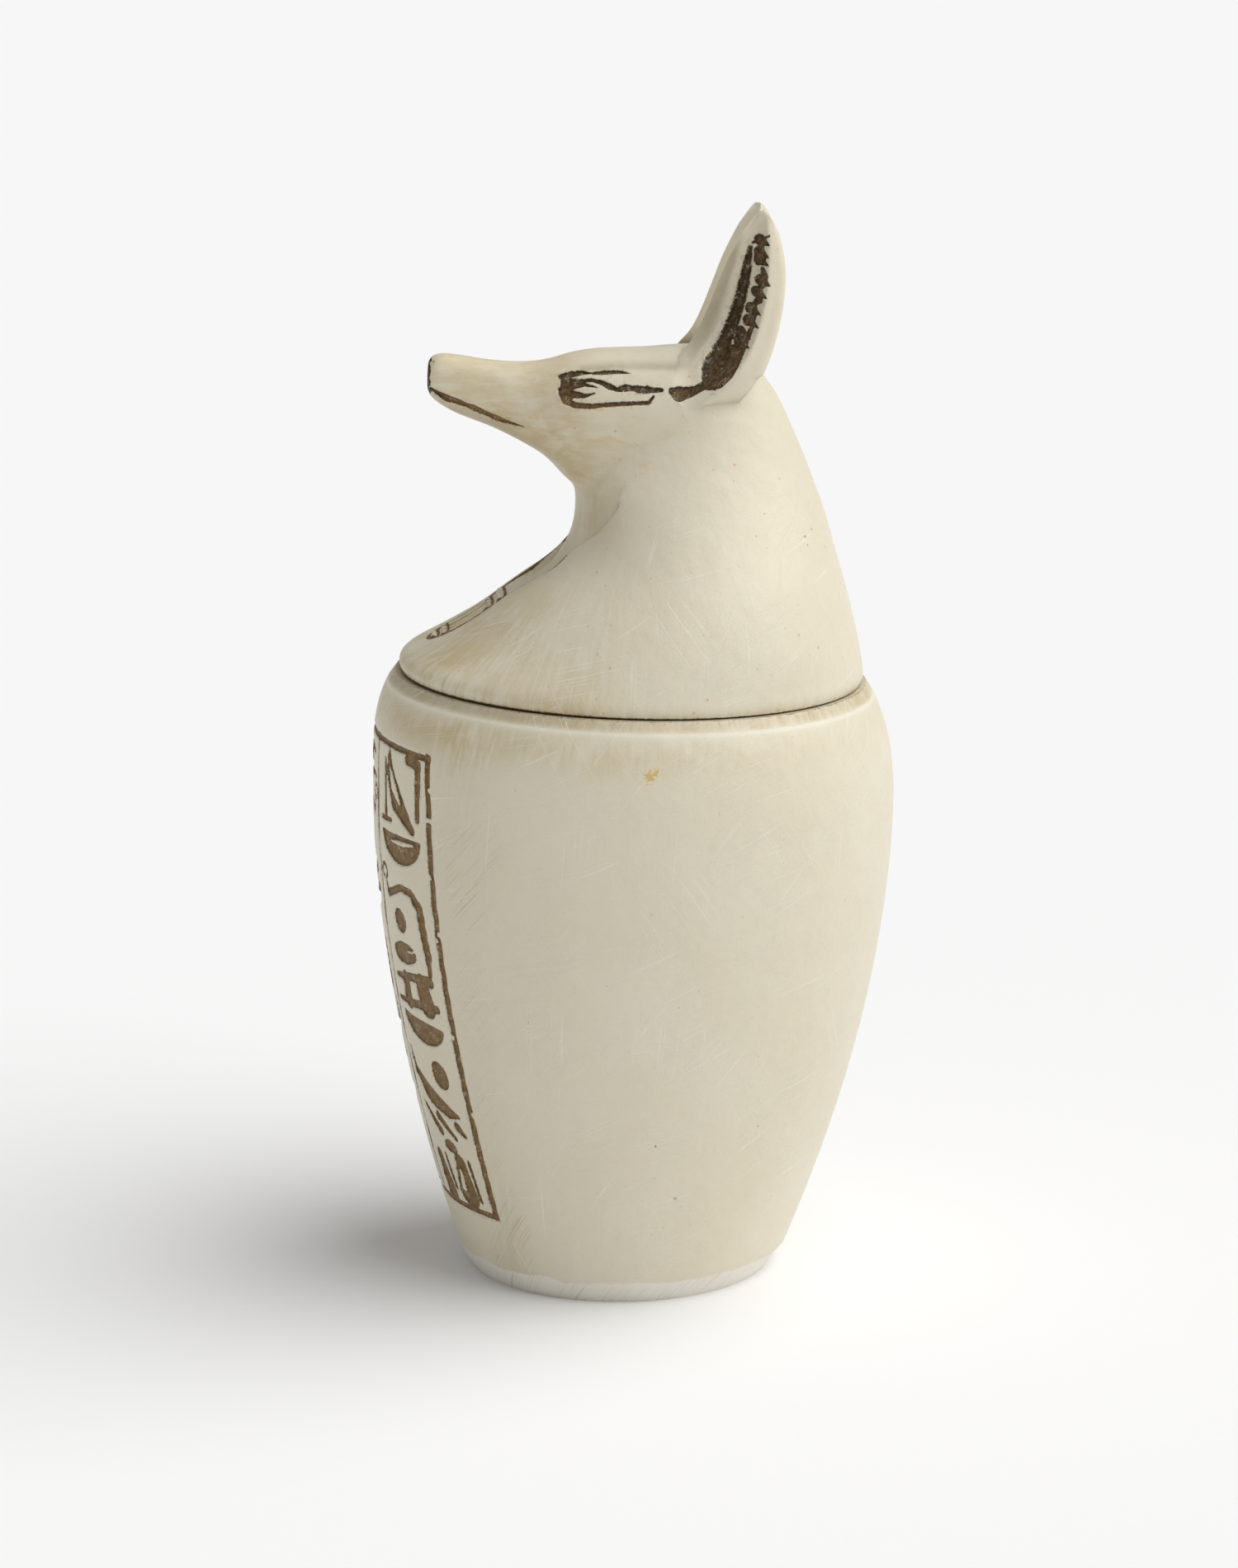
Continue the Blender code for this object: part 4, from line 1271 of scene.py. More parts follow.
    def drawn(self, *lines: Line) -> list[Stroke]:
        """Strokes on the sheet of (along, up) in metres.

        Args:
            lines: Lines of points in shares, each with its width in millimetres.

        Returns:
            The strokes.
        """
        strokes = []
        for points in (points for line in lines for points in line):
            placed = tuple((y * self.radius, z * self.height) for y, z, _ in points)
            strokes.append(Stroke(placed, tuple(width * MM for _, _, width in points)))
        return strokes

    def teeth(self) -> list[Stroke]:
        """The short teeth along the ear's toothed band.

        Returns:
            One tapered stroke for each tooth.
        """
        found = []
        for along, level in self.tooth_tips:
            tip = (along * self.radius, level * self.height)
            root = (tip[0] - self.tooth_root * self.radius, tip[1] + self.tooth_rise * self.height)
            found.append(Stroke((root, tip), (self.tooth_width, 0.05 * MM)))
        return found

    def strip_distance(self, places: Array) -> Array:
        """Signed distance to the edge of the sunk strip on the chest.

        Args:
            places: Rows of X, Y and Z.

        Returns:
            Distances in metres, below 0 in the strip.
        """
        along = places[:, 1] - self.strip_foot * self.radius
        length = (self.strip_top - self.strip_foot) * self.radius
        share = np.clip((along - self.strip_half_width) / (length - self.strip_half_width), 0, 1)
        half = self.strip_half_width + self.strip_flare * share**3
        foot = np.hypot(places[:, 0], np.minimum(along - self.strip_half_width, 0)) - half
        return np.where(along < self.strip_half_width, foot, np.abs(places[:, 0]) - half)

    def carve(self, lid: bpy.types.Object) -> None:
        """Carves the cape's edge, the chest strip, the face and the ears, and notes the stain.

        Args:
            lid: The lid's skin, in its own frame.
        """
        places, normals = places_of(lid), normals_of(lid)
        across, along, level = self.shares(places)
        sunk = self.cape_sunk(across, along, level) + self.crown_sunk(across, along, level)
        ink = np.full(len(places), UNSTAINED)
        self.carve_chest(places, normals, sunk, ink)
        self.carve_head(places, normals, sunk, ink)
        # Brown along the lid's lowest edge, more at the front: partly stain, partly painted shadow in the
        # gap over the jar.
        front = smooth_step(along, 0.40, -0.60)
        ink = np.minimum(ink, places[:, 2] / MM - self.seat_stain_and_shadow * (0.2 + 0.8 * front))
        ink = np.where(level > self.head_from, np.minimum(ink, self.nose_ink(places)), ink)
        sunk[places[:, 2] < self.uncarved_seat] = 0
        set_places(lid, places - normals * sunk[:, None])
        # Yellow heaviest on the front of the lid, the side away from the light: partly stain, partly
        # painted shade.
        handled_and_shaded = smooth_step(along, 0.10, -0.50) * (1 - 0.35 * smooth_step(level, 0.48, 0.56))
        patina = 0.10 + 0.75 * handled_and_shaded + self.throat_stain(along, level)
        set_attribute(lid, "ink", ink)
        set_attribute(lid, "patina", np.clip(patina, 0, 1))
        # Grey painted shade in the ear cups, the crown's hollows, under the jaw and at the throat.
        set_attribute(lid, "grime_and_shade", self.grime_and_shade(places, normals))

    def carve_chest(self, places: Array, normals: Array, sunk: Array, ink: Array) -> None:
        """Adds the sunk strip on the chest.

        Args:
            places: Rows of X, Y and Z.
            normals: The surface's normals there.
            sunk: Depths in metres, which are changed.
            ink: Distances to the stain in millimetres, which are changed.
        """
        _, along, level = self.shares(places)
        strip = self.strip_distance(places)
        chest = (normals[:, 1] < -0.2) & (level > 0.035) & (level < 0.30) & (along < self.strip_top + 0.06)
        depth = self.strip_depth * (1 - (1 + np.clip(strip / self.strip_half_width, -1, 0)) ** 2)
        depth *= 1 - smooth_step(along, self.strip_top - 0.04, self.strip_top + 0.06)
        depth -= self.strip_relief(places, strip)
        sunk += np.where(chest, depth, 0.0)
        ink[chest] = np.minimum(ink, self.strip_ink(places, strip))[chest]

    def carve_head(self, places: Array, normals: Array, sunk: Array, ink: Array) -> None:
        """Adds the strokes of the face and the carving in the ears.

        Args:
            places: Rows of X, Y and Z.
            normals: The surface's normals there.
            sunk: Depths in metres, which are changed.
            ink: Distances to the stain in millimetres, which are changed.
        """
        across, _, level = self.shares(places)
        outward = normals[:, 0] * np.sign(places[:, 0])
        side = (level > 0.50) & (across > 0.02) & (outward > 0.12)
        sheet = (places[side, 1], places[side, 2])
        cupped = self.in_cup(across[side], level[side])
        face = nearest_of(self.drawn(self.brow, self.eye, self.mouth, self.ear_root), *sheet)
        groove = np.where(cupped, nearest_of(self.drawn(self.ear_groove), *sheet), FAR_AWAY)
        band = np.where(cupped, nearest_of([*self.drawn(self.ear_band), *self.teeth()], *sheet), FAR_AWAY)
        fold = nearest_of(self.drawn(self.ear_fold), *sheet) + 0.5 * MM
        for depth, gap, inner, outer in (
            (self.stroke_depth, face, -0.22 * MM, 0.05 * MM),
            (self.groove_depth, groove, -0.9 * MM, 0.3 * MM),
            (self.band_depth, band, -0.20 * MM, 0.05 * MM),
        ):
            sunk[side] += depth * (1 - smooth_step(gap, inner, outer))
        sunk[side] -= self.fold_height * bell(fold, 0.0, 0.9 * MM)
        soft_groove = self.groove_softness * (groove + 0.10 * MM)
        for gap in (face, soft_groove, band):
            ink[side] = np.minimum(ink[side], gap / MM)

    def in_cup(self, across: Array, level: Array) -> Array:
        """Which places an ear stroke may mark: not the crown between the ears."""
        return (across > self.crown_half) | (level < self.crown_low) | (level > self.crown_top)

    def nose_ink(self, places: Array) -> Array:
        """Stain round the front of the nose, ragged behind and rubbed through on the flat front.

        Args:
            places: Rows of X, Y and Z.

        Returns:
            Distances in millimetres, below 0 where stained.
        """
        across, up = places[:, 0] / MM, places[:, 2] / MM - self.nose_middle
        edge = places[:, 1] / MM - self.nose_stain * self.radius / MM
        edge += 0.16 * np.sin(3.1 * up + 0.6) + 0.11 * np.sin(5.7 * up)
        rubbed = 1.5 - np.hypot(across / 1.15, up - 0.9 + 0.3 * np.cos(2.3 * across))
        return np.maximum(edge, rubbed)

    def grime_and_shade(self, places: Array, normals: Array) -> Array:
        """Painted shade: grey darkening in the cups of the ears, the hollows of the crown, on faces turned
        down under the jaw and at the throat.

        Args:
            places: Rows of X, Y and Z.
            normals: The surface's normals there.

        Returns:
            A share from 0 to 1.
        """
        _, along, level = self.shares(places)
        outward = normals[:, 0] * np.sign(places[:, 0])
        # Painted shade in each ear's cup, from its front rim to the fold.
        fold = nearest_of(self.drawn(self.ear_fold), places[:, 1], places[:, 2], 0.02)
        rows = np.array(self.ear.rows)
        front = np.interp(level, rows[:, 0], rows[:, 2])
        inner = smooth_step(along - front, 0.002, 0.014) * smooth_step(outward, 0.0, 0.25)
        cup = inner * smooth_step(level, 0.64, 0.70) * smooth_step(level, 0.97, 0.90)
        before_fold = along < np.interp(level, (0.66, 0.945), (0.25, 0.45))
        cup *= smooth_step(fold + 0.012 * MM, 0.4 * MM, 1.2 * MM) * before_fold
        # Painted shade in the hollow under the crown's ridge.
        ridge = np.interp(along, *zip(*self.crown_ridge))
        crown = bell(level, ridge - 0.010, 0.007)
        crown *= smooth_step(along, -0.34, -0.20) * smooth_step(along, 0.22, 0.12)
        # Painted shade on faces turned down under the jaw, and in the hollow of the throat.
        jaw = smooth_step(normals[:, 2], -0.2, -0.8) * smooth_step(level, 0.40, 0.48)
        throat = bell(level, 0.36, 0.06) * smooth_step(along, 0.0, -0.2)
        return np.clip(0.8 * cup + 0.6 * crown + 0.7 * jaw + 0.4 * throat, 0, 1)

    def cape_sunk(self, across: Array, along: Array, level: Array) -> Array:
        """How far the throat lies under the cape's edge.

        Args:
            across: X in shares, without its sign.
            along: Y in shares.
            level: Z in shares.

        Returns:
            Depths in metres.
        """
        table = np.array(self.cape_edge)
        edge = np.interp(level, table[:, 0], table[:, 1])
        inside = smooth_step(edge - across, -0.004, 0.014)
        fade_top = smooth_step(level, 0.45, 0.39)
        fade_foot = smooth_step(level, 0.17, 0.22)
        facing = smooth_step(along, 0.04, -0.03)
        fall = np.clip(across / edge, 0, 1) ** 2
        return (0.15 + 1.1 * fall) * MM * inside * fade_top * fade_foot * facing

    def strip_relief(self, places: Array, strip: Array) -> Array:
        """Raised ribs and lumps on the floor of the chest strip.

        Args:
            places: Rows of X, Y and Z.
            strip: Distance to the strip's edge at each row.

        Returns:
            Heights in metres over the floor.
        """
        along = (places[:, 1] - self.strip_foot * self.radius) / MM
        within = smooth_step(strip, -0.3 * MM, -0.8 * MM)
        lower = smooth_step(along, 11.0, 10.0) * smooth_step(along, 3.4, 4.2)
        bars = sum(bell(along, bar, 0.5) for bar in self.strip_bars)
        return within * (0.34 * self.ribs(places) * lower + 0.55 * bars) * MM

    def ribs(self, places: Array) -> Array:
        """How much of a rib stands at each place across the chest strip."""
        return 0.5 + 0.5 * np.cos(places[:, 0] / self.rib_pitch * math.tau)

    def strip_ink(self, places: Array, strip: Array) -> Array:
        """Stain on the floor of the chest strip, thinner on its ribs.

        Args:
            places: Rows of X, Y and Z.
            strip: Distance to the strip's edge at each row.

        Returns:
            Distances in millimetres, below 0 where stained.
        """
        along = (places[:, 1] - self.strip_foot * self.radius) / MM
        lower = smooth_step(along, 12.5, 11.0) * smooth_step(along, 2.6, 3.4)
        corner = np.abs(strip / MM + 0.35) - 0.42
        between = 1.2 * self.ribs(places) + 1.0 - 1.25 * lower
        inner = np.where(strip < -0.5 * MM, between, UNSTAINED)
        bars = np.min([np.abs(along - bar - 0.7) for bar in self.strip_bars], axis=0)
        inner = np.where(strip < -0.3 * MM, np.minimum(inner, bars - 0.22), inner)
        return np.minimum(corner, inner)

    def crown_sunk(self, across: Array, along: Array, level: Array) -> Array:
        """The shallow hollow under the ridge along each side of the crown.

        Args:
            across: X in shares, without its sign.
            along: Y in shares.
            level: Z in shares.

        Returns:
            Depths in metres.
        """
        ridge = np.interp(along, *zip(*self.crown_ridge))
        band = bell(level, ridge - 0.012, 0.008)
        reach = smooth_step(along, -0.34, -0.24) * smooth_step(along, 0.20, 0.10)
        return 0.45 * MM * band * reach * smooth_step(across, 0.02, 0.08)

    def throat_stain(self, along: Array, level: Array) -> Array:
        """Yellow stain at the throat, on the cheeks, low on the chest and along the seat.

        Args:
            along: Y in shares.
            level: Z in shares.

        Returns:
            A share from 0 to 1.
        """
        throat = bell(level, 0.37, 0.07) * smooth_step(along, 0.1, -0.2)
        seat = bell(level, 0.0, 0.02)
        cheek = bell(level, 0.52, 0.07) * smooth_step(along, 0.35, -0.10)
        chest = smooth_step(along, -0.55, -0.90) * smooth_step(level, 0.20, 0.05)
        return 0.6 * throat + 0.5 * seat + 0.35 * cheek + 0.35 * chest

    def build(self, jar: JarBody) -> bpy.types.Object:
        """Makes the lid where it sits on the jar.

        Args:
            jar: The body that it stands on.

        Returns:
            The finished mesh, still without its material.
        """
        lid = self.skin()
        self.refine(lid)
        self.carve(lid)
        places = places_of(lid)
        places += np.array((0.0, float(jar.bow(jar.height)), jar.height + self.gap))
        set_places(lid, turned_back(places, jar.lean_deg))
        return lid


# Finish


class Value:
    """A number on its way through the shader. Arithmetic on it adds Math nodes."""

    def __init__(self, graph: Graph, socket: bpy.types.NodeSocket) -> None:
        """Wraps a socket."""
        self.graph = graph
        self.socket = socket

    def _with(self, operation: str, first: object, second: object) -> Value:
        """Adds one Math node."""
        return self.graph.node("ShaderNodeMath", {"operation": operation}, {0: first, 1: second})

    def __add__(self, other: object) -> Value:
        """The sum."""
        return self._with("ADD", self, other)

    def __sub__(self, other: object) -> Value:
        """The difference."""
        return self._with("SUBTRACT", self, other)

    def __mul__(self, other: object) -> Value:
        """The product."""
        return self._with("MULTIPLY", self, other)

    def __rsub__(self, other: object) -> Value:
        """The difference from a number."""
        return self._with("SUBTRACT", other, self)

    def step(self, low: float, high: float) -> Value:
        """A soft step from 0 at low to 1 at high."""
        settings = {"interpolation_type": "SMOOTHSTEP", "clamp": True}
        return self.graph.node("ShaderNodeMapRange", settings, {0: self, 1: low, 2: high, 3: 0.0, 4: 1.0})


class Graph:
    """The nodes of one material, which end in one Principled shader."""

    def __init__(self, name: str) -> None:
        """Starts a material with an empty shader.

        Args:
            name: The material's name.
        """
        self.material = bpy.data.materials.new(name)
        self.material.use_nodes = True
        self.tree = self.material.node_tree
        self.shader = self.tree.nodes["Principled BSDF"]

    def feed(self, socket: bpy.types.NodeSocket, value: object) -> None:
        """Sets a socket to a number, or links it.

        Args:
            socket: An input socket.
            value: A number, a tuple or a Value.
        """
        if isinstance(value, Value):
            self.tree.links.new(value.socket, socket)
        else:
            socket.default_value = value

    def node(self, kind: str, settings: dict, inputs: dict, output: int | str = 0) -> Value:
        """Adds any node.

        Args:
            kind: Blender's name of the node's type.
            settings: Its own properties.
            inputs: Numbers or Values by the socket's name or place.
            output: The socket to read.

        Returns:
            The value of that output.
        """
        made = self.tree.nodes.new(kind)
        for name, value in settings.items():
            setattr(made, name, value)
        for name, value in inputs.items():
            self.feed(made.inputs[name], value)
        return Value(self, made.outputs[output])

    def attribute(self, name: str) -> Value:
        """A number that each vertex holds."""
        settings = {"attribute_name": name, "attribute_type": "GEOMETRY"}
        return self.node("ShaderNodeAttribute", settings, {}, "Fac")

    def axis(self, place: Value, name: str) -> Value:
        """One of a place's three numbers."""
        return self.node("ShaderNodeSeparateXYZ", {}, {0: place}, name)

    def vector(self, operation: str, inputs: dict, output: str = "Vector") -> Value:
        """Adds one Vector Math node."""
        return self.node("ShaderNodeVectorMath", {"operation": operation}, inputs, output)

    def cells(self, place: Value, scale: float) -> Value:
        """Distance to the nearest of many loosely strewn points."""
        inputs = {"Vector": place, "Scale": scale, "Randomness": 1.0}
        return self.node("ShaderNodeTexVoronoi", {}, inputs, "Distance")

    def noise(self, place: Value, scale: float, detail: float = 2.0, roughness: float = 0.5) -> Value:
        """Soft noise from 0 to 1."""
        inputs = {"Vector": place, "Scale": scale, "Detail": detail, "Roughness": roughness}
        return self.node("ShaderNodeTexNoise", {}, inputs, "Fac")

    def mix(self, share: object, first: object, second: object) -> Value:
        """A colour between two colours."""
        return self.node("ShaderNodeMix", {"data_type": "RGBA"}, {0: share, 6: first, 7: second}, 2)

    def moved(self, place: Value, scale: Sequence[float], turn_deg: Sequence[float]) -> Value:
        """The place turned and then stretched, so that a pattern on it runs in lines.

        Args:
            place: Where the pattern is read.
            scale: Factors of the three axes after the turn.
            turn_deg: Turns round the three axes.

        Returns:
            The new place.
        """
        turned = self.node(
            "ShaderNodeVectorRotate",
            {"rotation_type": "EULER_XYZ"},
            {"Vector": place, "Rotation": tuple(math.radians(t) for t in turn_deg)},
        )
        return self.vector("MULTIPLY", {0: turned, 1: tuple(scale)})


@dataclass(frozen=True)
class Spot:
    """A single speck on the surface, with its place and size in millimetres."""

    place: tuple[float, float, float]
    size: float
    colour: Colour
    broken: float = 1.0


@dataclass(frozen=True)
class IvoryResin:
    """Ivory-coloured cast resin with brown stain in the carving, rubbed and scratched."""

    ivory: Colour = (0.730, 0.665, 0.510, 1.0)
    pale_ivory: Colour = (0.790, 0.745, 0.620, 1.0)
    scratch_ivory: Colour = (0.860, 0.820, 0.700, 1.0)
    ground_ivory: Colour = (0.835, 0.808, 0.730, 1.0)
    yellow: Colour = (0.535, 0.412, 0.185, 1.0)
    yellow_brown: Colour = (0.330, 0.220, 0.090, 1.0)
    brown: Colour = (0.240, 0.140, 0.046, 1.0)
    dark_brown: Colour = (0.040, 0.019, 0.003, 1.0)
    # Grey for painted shade in hollows, also partly dirt on the jar's bevel.
    grime_and_shade_grey: Colour = (0.400, 0.338, 0.225, 1.0)
    orange: Colour = (0.600, 0.330, 0.090, 1.0)
    ground_foot: float = 4.6
    unrolled_radius: float = 43.0
    scratch_runs: tuple[tuple[float, ...], ...] = (
        (4.6, 0.028, 4, 0.700, 0.740),
        (5.0, 0.030, 37, 0.705, 0.745),
        (4.8, 0.024, -31, 0.710, 0.745),
        (4.2, 0.040, 62, 0.705, 0.745),
        (4.6, 0.034, 78, 0.700, 0.740),
    )
    scratch_patches: tuple[float, float, float] = (0.07, 0.05, 1.0)
    scratch_fade: float = 14.0
    scratched_to: float = 158.0
    scratched_from: float = 27.0
    brown_to: float = 96.0
    head_from: float = 164.0
    lid_from: float = 112.0
    roughness: float = 0.42
    ior: float = 1.5
    specular: float = 0.36
    spots: tuple[Spot, ...] = (
        Spot((47.7, 4.2, 104.2), 1.15, (0.640, 0.410, 0.090, 1.0), 3.2),
        Spot((47.5, 5.3, 105.0), 0.70, (0.640, 0.430, 0.110, 1.0), 3.2),
        Spot((40.3, 5.6, 33.7), 0.26, (0.110, 0.080, 0.040, 1.0)),
        Spot((36.5, 9.3, 22.5), 0.42, (0.330, 0.310, 0.250, 1.0)),
        Spot((34.0, 24.6, 35.5), 0.22, (0.200, 0.130, 0.060, 1.0)),
        Spot((17.6, 33.3, 142.1), 0.36, (0.200, 0.180, 0.150, 1.0)),
        Spot((14.6, 34.7, 142.9), 0.30, (0.220, 0.200, 0.160, 1.0)),
        Spot((18.2, 33.8, 140.6), 0.26, (0.220, 0.200, 0.160, 1.0)),
        Spot((2.5, -34.0, 172.2), 0.30, (0.060, 0.035, 0.015, 1.0)),
    )

    def build(self, name: str) -> bpy.types.Material:
        """Makes the finish.

        Args:
            name: The material's name.

        Returns:
            The material.
        """
        graph = Graph(name)
        place = graph.node("ShaderNodeTexCoord", {}, {}, "Object")
        place = graph.vector("SCALE", {0: place, "Scale": 1.0 / MM})
        sheet = self.unrolled(graph, place)
        scratches = self.scratches(graph, place, sheet)
        cover, depth = self.stain(graph, place)
        colour = self.body_colour(graph, place, sheet, scratches)
        stained = graph.mix(depth, self.brown, self.dark_brown)
        colour = graph.mix(cover, colour, stained)
        colour = self.specked(graph, place, colour)
        graph.feed(graph.shader.inputs["Base Color"], colour)
        rough = graph.noise(place, 0.35, 3.0) * 0.14 + (self.roughness - 0.07)
        rough = rough + cover * 0.20 + scratches * 0.10
        graph.feed(graph.shader.inputs["Roughness"], rough)
        graph.feed(graph.shader.inputs["Normal"], self.bump(graph, place, scratches, cover))
        graph.shader.inputs["IOR"].default_value = self.ior
        graph.shader.inputs["Specular IOR Level"].default_value = self.specular
        graph.shader.inputs["Metallic"].default_value = 0.0
        return graph.material

    def stain(self, graph: Graph, place: Value) -> tuple[Value, Value]:
        """Brown stain in the carving, broken up at its edge and rubbed through in flecks.

        Args:
            graph: The material's nodes.
            place: Places in millimetres.

        Returns:
            How much stain covers, and how dark it is.
        """
        ink = graph.attribute("ink")
        ragged = ink + (graph.noise(place, 2.6, 3.0, 0.6) - 0.5) * 0.42
        ragged = ragged + (graph.noise(place, 0.5, 2.0) - 0.5) * 0.25
        cover = ragged.step(0.07, -0.07)
        flecks = graph.noise(place, 3.6, 2.0, 0.7).step(0.62, 0.68) * ink.step(-0.05, -0.30)
        patches = graph.noise(place, 0.55, 3.0, 0.6).step(0.50, 0.66)
        patches = patches * graph.noise(place, 2.8, 2.0).step(0.48, 0.58)
        cover = cover * (1.0 - flecks * 0.22) * (1.0 - patches * 0.40)
        haze = ink.step(1.0, -0.1) * graph.noise(place, 1.1, 2.0).step(0.50, 0.72) * 0.30
        rim = ink.step(-0.50, -0.08)
        depth = rim * 0.30 + graph.noise(place, 1.2, 3.0, 0.65).step(0.40, 0.66) * 0.40
        head = graph.axis(place, "Z").step(self.head_from, self.head_from + 4.0)
        return cover + haze * (1.0 - cover), depth + head * 0.6

    def unrolled(self, graph: Graph, place: Value) -> Value:
        """The surface rolled out flat round the upright axis.

        Args:
            graph: The material's nodes.
            place: Places in millimetres.

        Returns:
            Arc lengths and heights in millimetres.
        """
        x, y, z = (graph.axis(place, name) for name in "XYZ")
        angle = graph.node("ShaderNodeMath", {"operation": "ARCTAN2"}, {0: y, 1: x})
        return graph.node("ShaderNodeCombineXYZ", {}, {0: angle * self.unrolled_radius, 1: z})

    def scratches(self, graph: Graph, place: Value, sheet: Value) -> Value:
        """Fine lines ground into the surface in a few directions, fading near the upright axis.

        Args:
            graph: The material's nodes.
            place: Places in millimetres.
            sheet: Places on the unrolled surface, in millimetres.

        Returns:
            1 on a scratch and 0 off it.
        """
        runs = []
        for across, along, turn, low, high in self.scratch_runs:
            run = graph.noise(graph.moved(sheet, (across, along, 1.0), (0, 0, turn)), 1.0, 0.0)
            patch = graph.noise(graph.moved(sheet, self.scratch_patches, (0, 0, turn + 20)), 1.0, 2.0)
            runs.append(run.step(low, high) * patch.step(0.40, 0.58))
        lines = sum(runs[1:], runs[0])
        fading = graph.axis(sheet, "Y").step(self.scratched_to, self.scratched_to - self.scratch_fade)
        return lines * fading * self.off_axis(graph, place)

    def off_axis(self, graph: Graph, place: Value) -> Value:
        """0 near the upright axis, where the unrolled surface runs together, and 1 away from it.

        Args:
            graph: The material's nodes.
            place: Places in millimetres.

        Returns:
            A share.
        """
        level = graph.vector("MULTIPLY", {0: place, 1: (1.0, 1.0, 0.0)})
        radius = graph.vector("LENGTH", {0: level}, "Value")
        return radius.step(self.scratched_from - 4.0, self.scratched_from)

    def body_colour(self, graph: Graph, place: Value, sheet: Value, scratches: Value) -> Value:
        """The resin's own colour with its clouds, its yellow stain and the pale ground foot, with painted
        shade in hollows and a painted highlight on the jar's shoulder ridge.

        Args:
            graph: The material's nodes.
            place: Places in millimetres.
            sheet: Places on the unrolled surface, in millimetres.
            scratches: Where the scratches are.

        Returns:
            A colour.
        """
        clouds = graph.noise(place, 0.045, 4.0, 0.6).step(0.30, 0.72)
        colour = graph.mix(clouds * 0.35, self.ivory, self.pale_ivory)
        patina = graph.attribute("patina")
        height = graph.axis(place, "Z")
        head = height.step(self.scratched_to - self.scratch_fade, self.scratched_to)
        brushed = graph.noise(graph.moved(sheet, (0.9, 0.12, 1.0), (0, 0, 8)), 1.0, 3.0, 0.6) * (1.0 - head)
        on_head = graph.noise(graph.moved(place, (0.5, 0.10, 0.8), (0, 0, 0)), 1.0, 3.0, 0.6)
        brushed = brushed + on_head * head
        broad = graph.noise(place, 0.03, 1.0).step(0.36, 0.58) * 0.65 + 0.35
        worn = patina * broad * (graph.noise(place, 0.09, 4.0, 0.62) * 0.6 + brushed * 0.4).step(0.36, 0.60)
        colour = graph.mix(worn * 0.72, colour, self.yellow)
        # Pale where the patina falls below 0, on the jar's shoulder ridge: partly rubbed wear, partly
        # painted highlight.
        colour = graph.mix(patina.step(-0.05, -0.60) * 0.8, colour, self.pale_ivory)
        # Grey painted shade in hollows and under the jaw, and on the jar's bevel partly dirt, partly the
        # lid's painted shadow.
        grime_and_shade = graph.attribute("grime_and_shade") * (graph.noise(place, 0.30, 3.0, 0.6) * 0.5 + 0.6)
        colour = graph.mix(grime_and_shade, colour, self.grime_and_shade_grey)
        blotches = graph.noise(graph.moved(place, (0.40, 0.16, 0.50), (0, 0, 0)), 1.0, 4.0, 0.66)
        blotches = blotches.step(0.50, 0.70) * head * patina.step(0.10, 0.40)
        colour = graph.mix(blotches * 0.26, colour, self.orange)
        freckles = graph.noise(place, 0.8, 4.0, 0.7).step(0.58, 0.74)
        colour = graph.mix(freckles * 0.10, colour, self.yellow)
        edge = height + (graph.noise(place, 0.22, 3.0) - 0.5) * 2.6
        ground = edge.step(self.ground_foot, self.ground_foot - 0.4)
        colour = graph.mix(ground * 0.9, colour, self.ground_ivory)
        brown_run = graph.noise(graph.moved(sheet, (4.0, 0.07, 1.0), (0, 0, 44)), 1.0, 0.0).step(0.68, 0.71)
        brown_run = brown_run * patina.step(0.04, 0.16) * height.step(self.brown_to, self.brown_to - 8.0)
        colour = graph.mix(brown_run * self.off_axis(graph, place) * 0.30, colour, self.yellow_brown)
        return graph.mix(scratches * 0.45, colour, self.scratch_ivory)

    def specked(self, graph: Graph, place: Value, colour: Value) -> Value:
        """Adds the specks in the cast, loose ones and those at known places.

        Args:
            graph: The material's nodes.
            place: Places in millimetres.
            colour: The colour under them.

        Returns:
            The colour with the specks.
        """
        lid = graph.axis(place, "Z").step(self.lid_from, self.lid_from + 2.0)
        large = graph.cells(place, 0.23).step(0.085, 0.040)
        colour = graph.mix(large * (lid * 0.55 + 0.05), colour, self.orange)
        small = graph.cells(place, 0.29).step(0.045, 0.030)
        colour = graph.mix(small * 0.45, colour, self.brown)
        for spot in self.spots:
            away = graph.vector("DISTANCE", {0: place, 1: spot.place}, "Value")
            flecks = graph.noise(place, 1.2 + 0.4 * spot.broken, 2.0) - 0.5
            ragged = away + flecks * (spot.broken * spot.size)
            colour = graph.mix(ragged.step(spot.size, 0.5 * spot.size) * 0.8, colour, spot.colour)
        return colour

    def bump(self, graph: Graph, place: Value, scratches: Value, cover: Value) -> Value:
        """The surface's fine unevenness.

        Args:
            graph: The material's nodes.
            place: Places in millimetres.
            scratches: Where the scratches are.
            cover: Where the stain is.

        Returns:
            A normal.
        """
        waves = graph.noise(place, 0.16, 2.0) * 0.35 + graph.noise(place, 1.6, 3.0, 0.6) * 0.05
        rough_cut = graph.noise(place, 2.6, 2.0) * cover * 0.12
        relief = waves + rough_cut - scratches * 0.020
        inputs = {"Strength": 1.0, "Distance": MM, "Height": relief}
        return graph.node("ShaderNodeBump", {}, inputs, "Normal")


# Studio


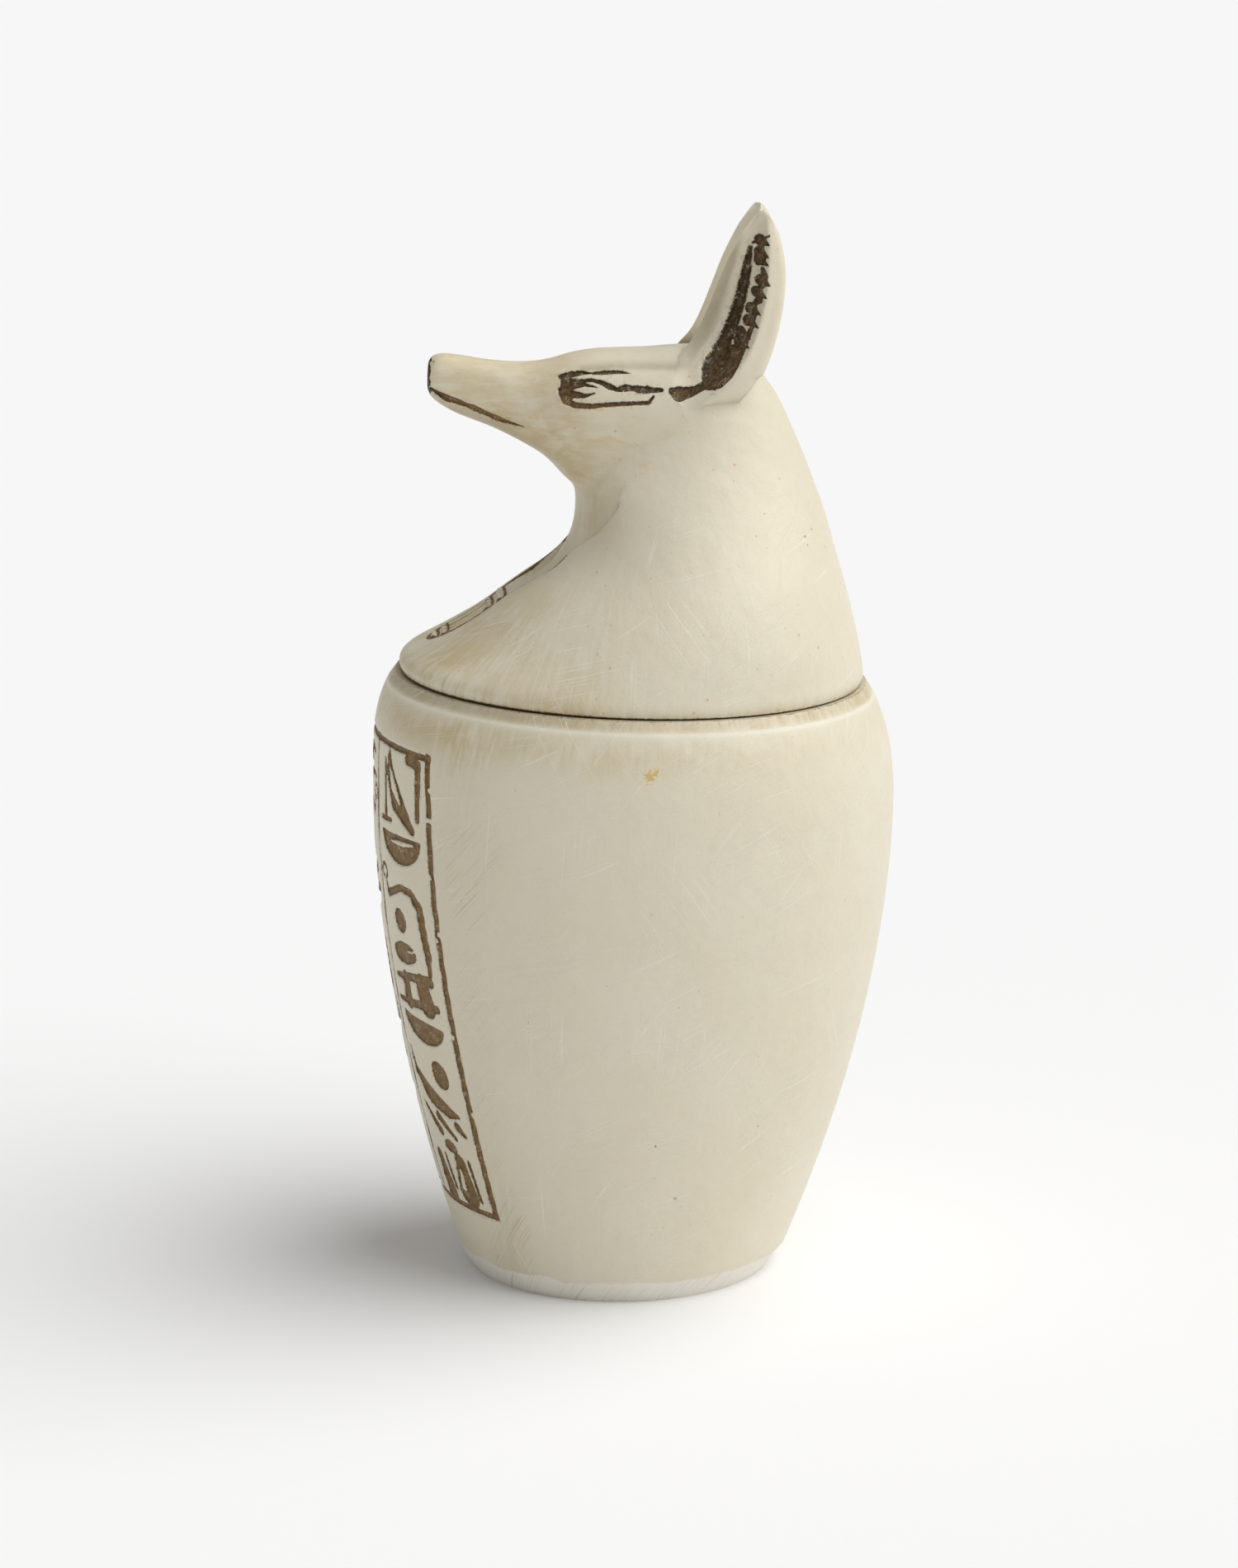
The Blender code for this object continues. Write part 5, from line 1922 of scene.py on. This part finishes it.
@dataclass(frozen=True)
class Studio:
    """Pale floor, soft light from the right and above, and the camera of the photograph."""

    camera_distance: float = 0.8587
    camera_height: float = 0.28884
    camera_turn_deg: float = 88.5
    camera_down_deg: float = 12.90
    lens: float = 107.91
    sensor: float = 36.0
    floor_size: float = 40.0
    floor_grey: Colour = (0.92, 0.92, 0.92, 1.0)
    sky: Colour = (1.0, 1.0, 1.0, 1.0)
    sky_strength: float = 0.34
    sun_strength: float = 2.6
    sun_spread_deg: float = 70.0
    sun_height_deg: float = 54.0
    sun_turn_deg: float = 80.0

    def build(self) -> None:
        """Makes the floor, the lights and the camera."""
        self.add_floor()
        self.add_light()
        self.add_camera()
        bpy.context.scene.view_settings.view_transform = "Standard"

    def add_floor(self) -> None:
        """A plain pale floor."""
        deselect_all()
        bpy.ops.mesh.primitive_plane_add(size=self.floor_size, location=(0, 0, 0))
        floor = bpy.context.object
        floor.name = "floor"
        graph = Graph("pale_floor")
        graph.feed(graph.shader.inputs["Base Color"], self.floor_grey)
        graph.feed(graph.shader.inputs["Roughness"], 0.9)
        graph.feed(graph.shader.inputs["Specular IOR Level"], 0.0)
        floor.data.materials.append(graph.material)

    def add_light(self) -> None:
        """A bright sky and one broad light."""
        world = bpy.data.worlds.new("studio_sky")
        world.use_nodes = True
        sky = world.node_tree.nodes["Background"]
        sky.inputs["Color"].default_value = self.sky
        sky.inputs["Strength"].default_value = self.sky_strength
        bpy.context.scene.world = world
        bpy.ops.object.light_add(type="SUN", location=(0, 0, 2))
        sun = bpy.context.object
        sun.name = "broad_light"
        sun.data.energy = self.sun_strength
        sun.data.angle = math.radians(self.sun_spread_deg)
        turn, rise = math.radians(self.sun_turn_deg), math.radians(self.sun_height_deg)
        towards = Vector((math.cos(turn) * math.cos(rise), math.sin(turn) * math.cos(rise), math.sin(rise)))
        sun.rotation_euler = towards.to_track_quat("Z", "Y").to_euler()

    def add_camera(self) -> None:
        """The camera, where the photograph was taken from."""
        turn = math.radians(self.camera_turn_deg)
        level = (self.camera_distance * math.sin(turn), -self.camera_distance * math.cos(turn))
        tilt = math.pi / 2 - math.radians(self.camera_down_deg)
        bpy.ops.object.camera_add(location=(*level, self.camera_height), rotation=(tilt, 0, turn))
        camera = bpy.context.object
        camera.data.sensor_width = self.sensor
        camera.data.lens = self.lens
        bpy.context.scene.camera = camera


def finish_piece(piece: bpy.types.Object, part: Part, material: bpy.types.Material) -> None:
    """Shades a piece, gives it its finish and puts it in place of its solid.

    Args:
        piece: The finished mesh.
        part: The solid that it stands for.
        material: Its finish.
    """
    pick(piece)
    bpy.ops.object.shade_smooth_by_angle(angle=math.radians(SMOOTH_UNDER_DEG))
    piece.data.materials.clear()
    piece.data.materials.append(material)
    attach(piece, ROOT_BODY)
    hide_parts(part.value)
    piece.data.calc_loop_triangles()
    LOG.info("%s: %d triangles", piece.name, len(piece.data.loop_triangles))


def main() -> None:
    """Builds the jar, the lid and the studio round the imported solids."""
    logging.basicConfig(level=logging.INFO, format="%(name)s: %(message)s")
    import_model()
    body = JarBody()
    finish = IvoryResin()
    finish_piece(body.build(), Part.JAR, finish.build("jar_resin"))
    finish_piece(JackalLid().build(body), Part.LID, finish.build("lid_resin"))
    Studio().build()


if __name__ == "__main__":
    main()
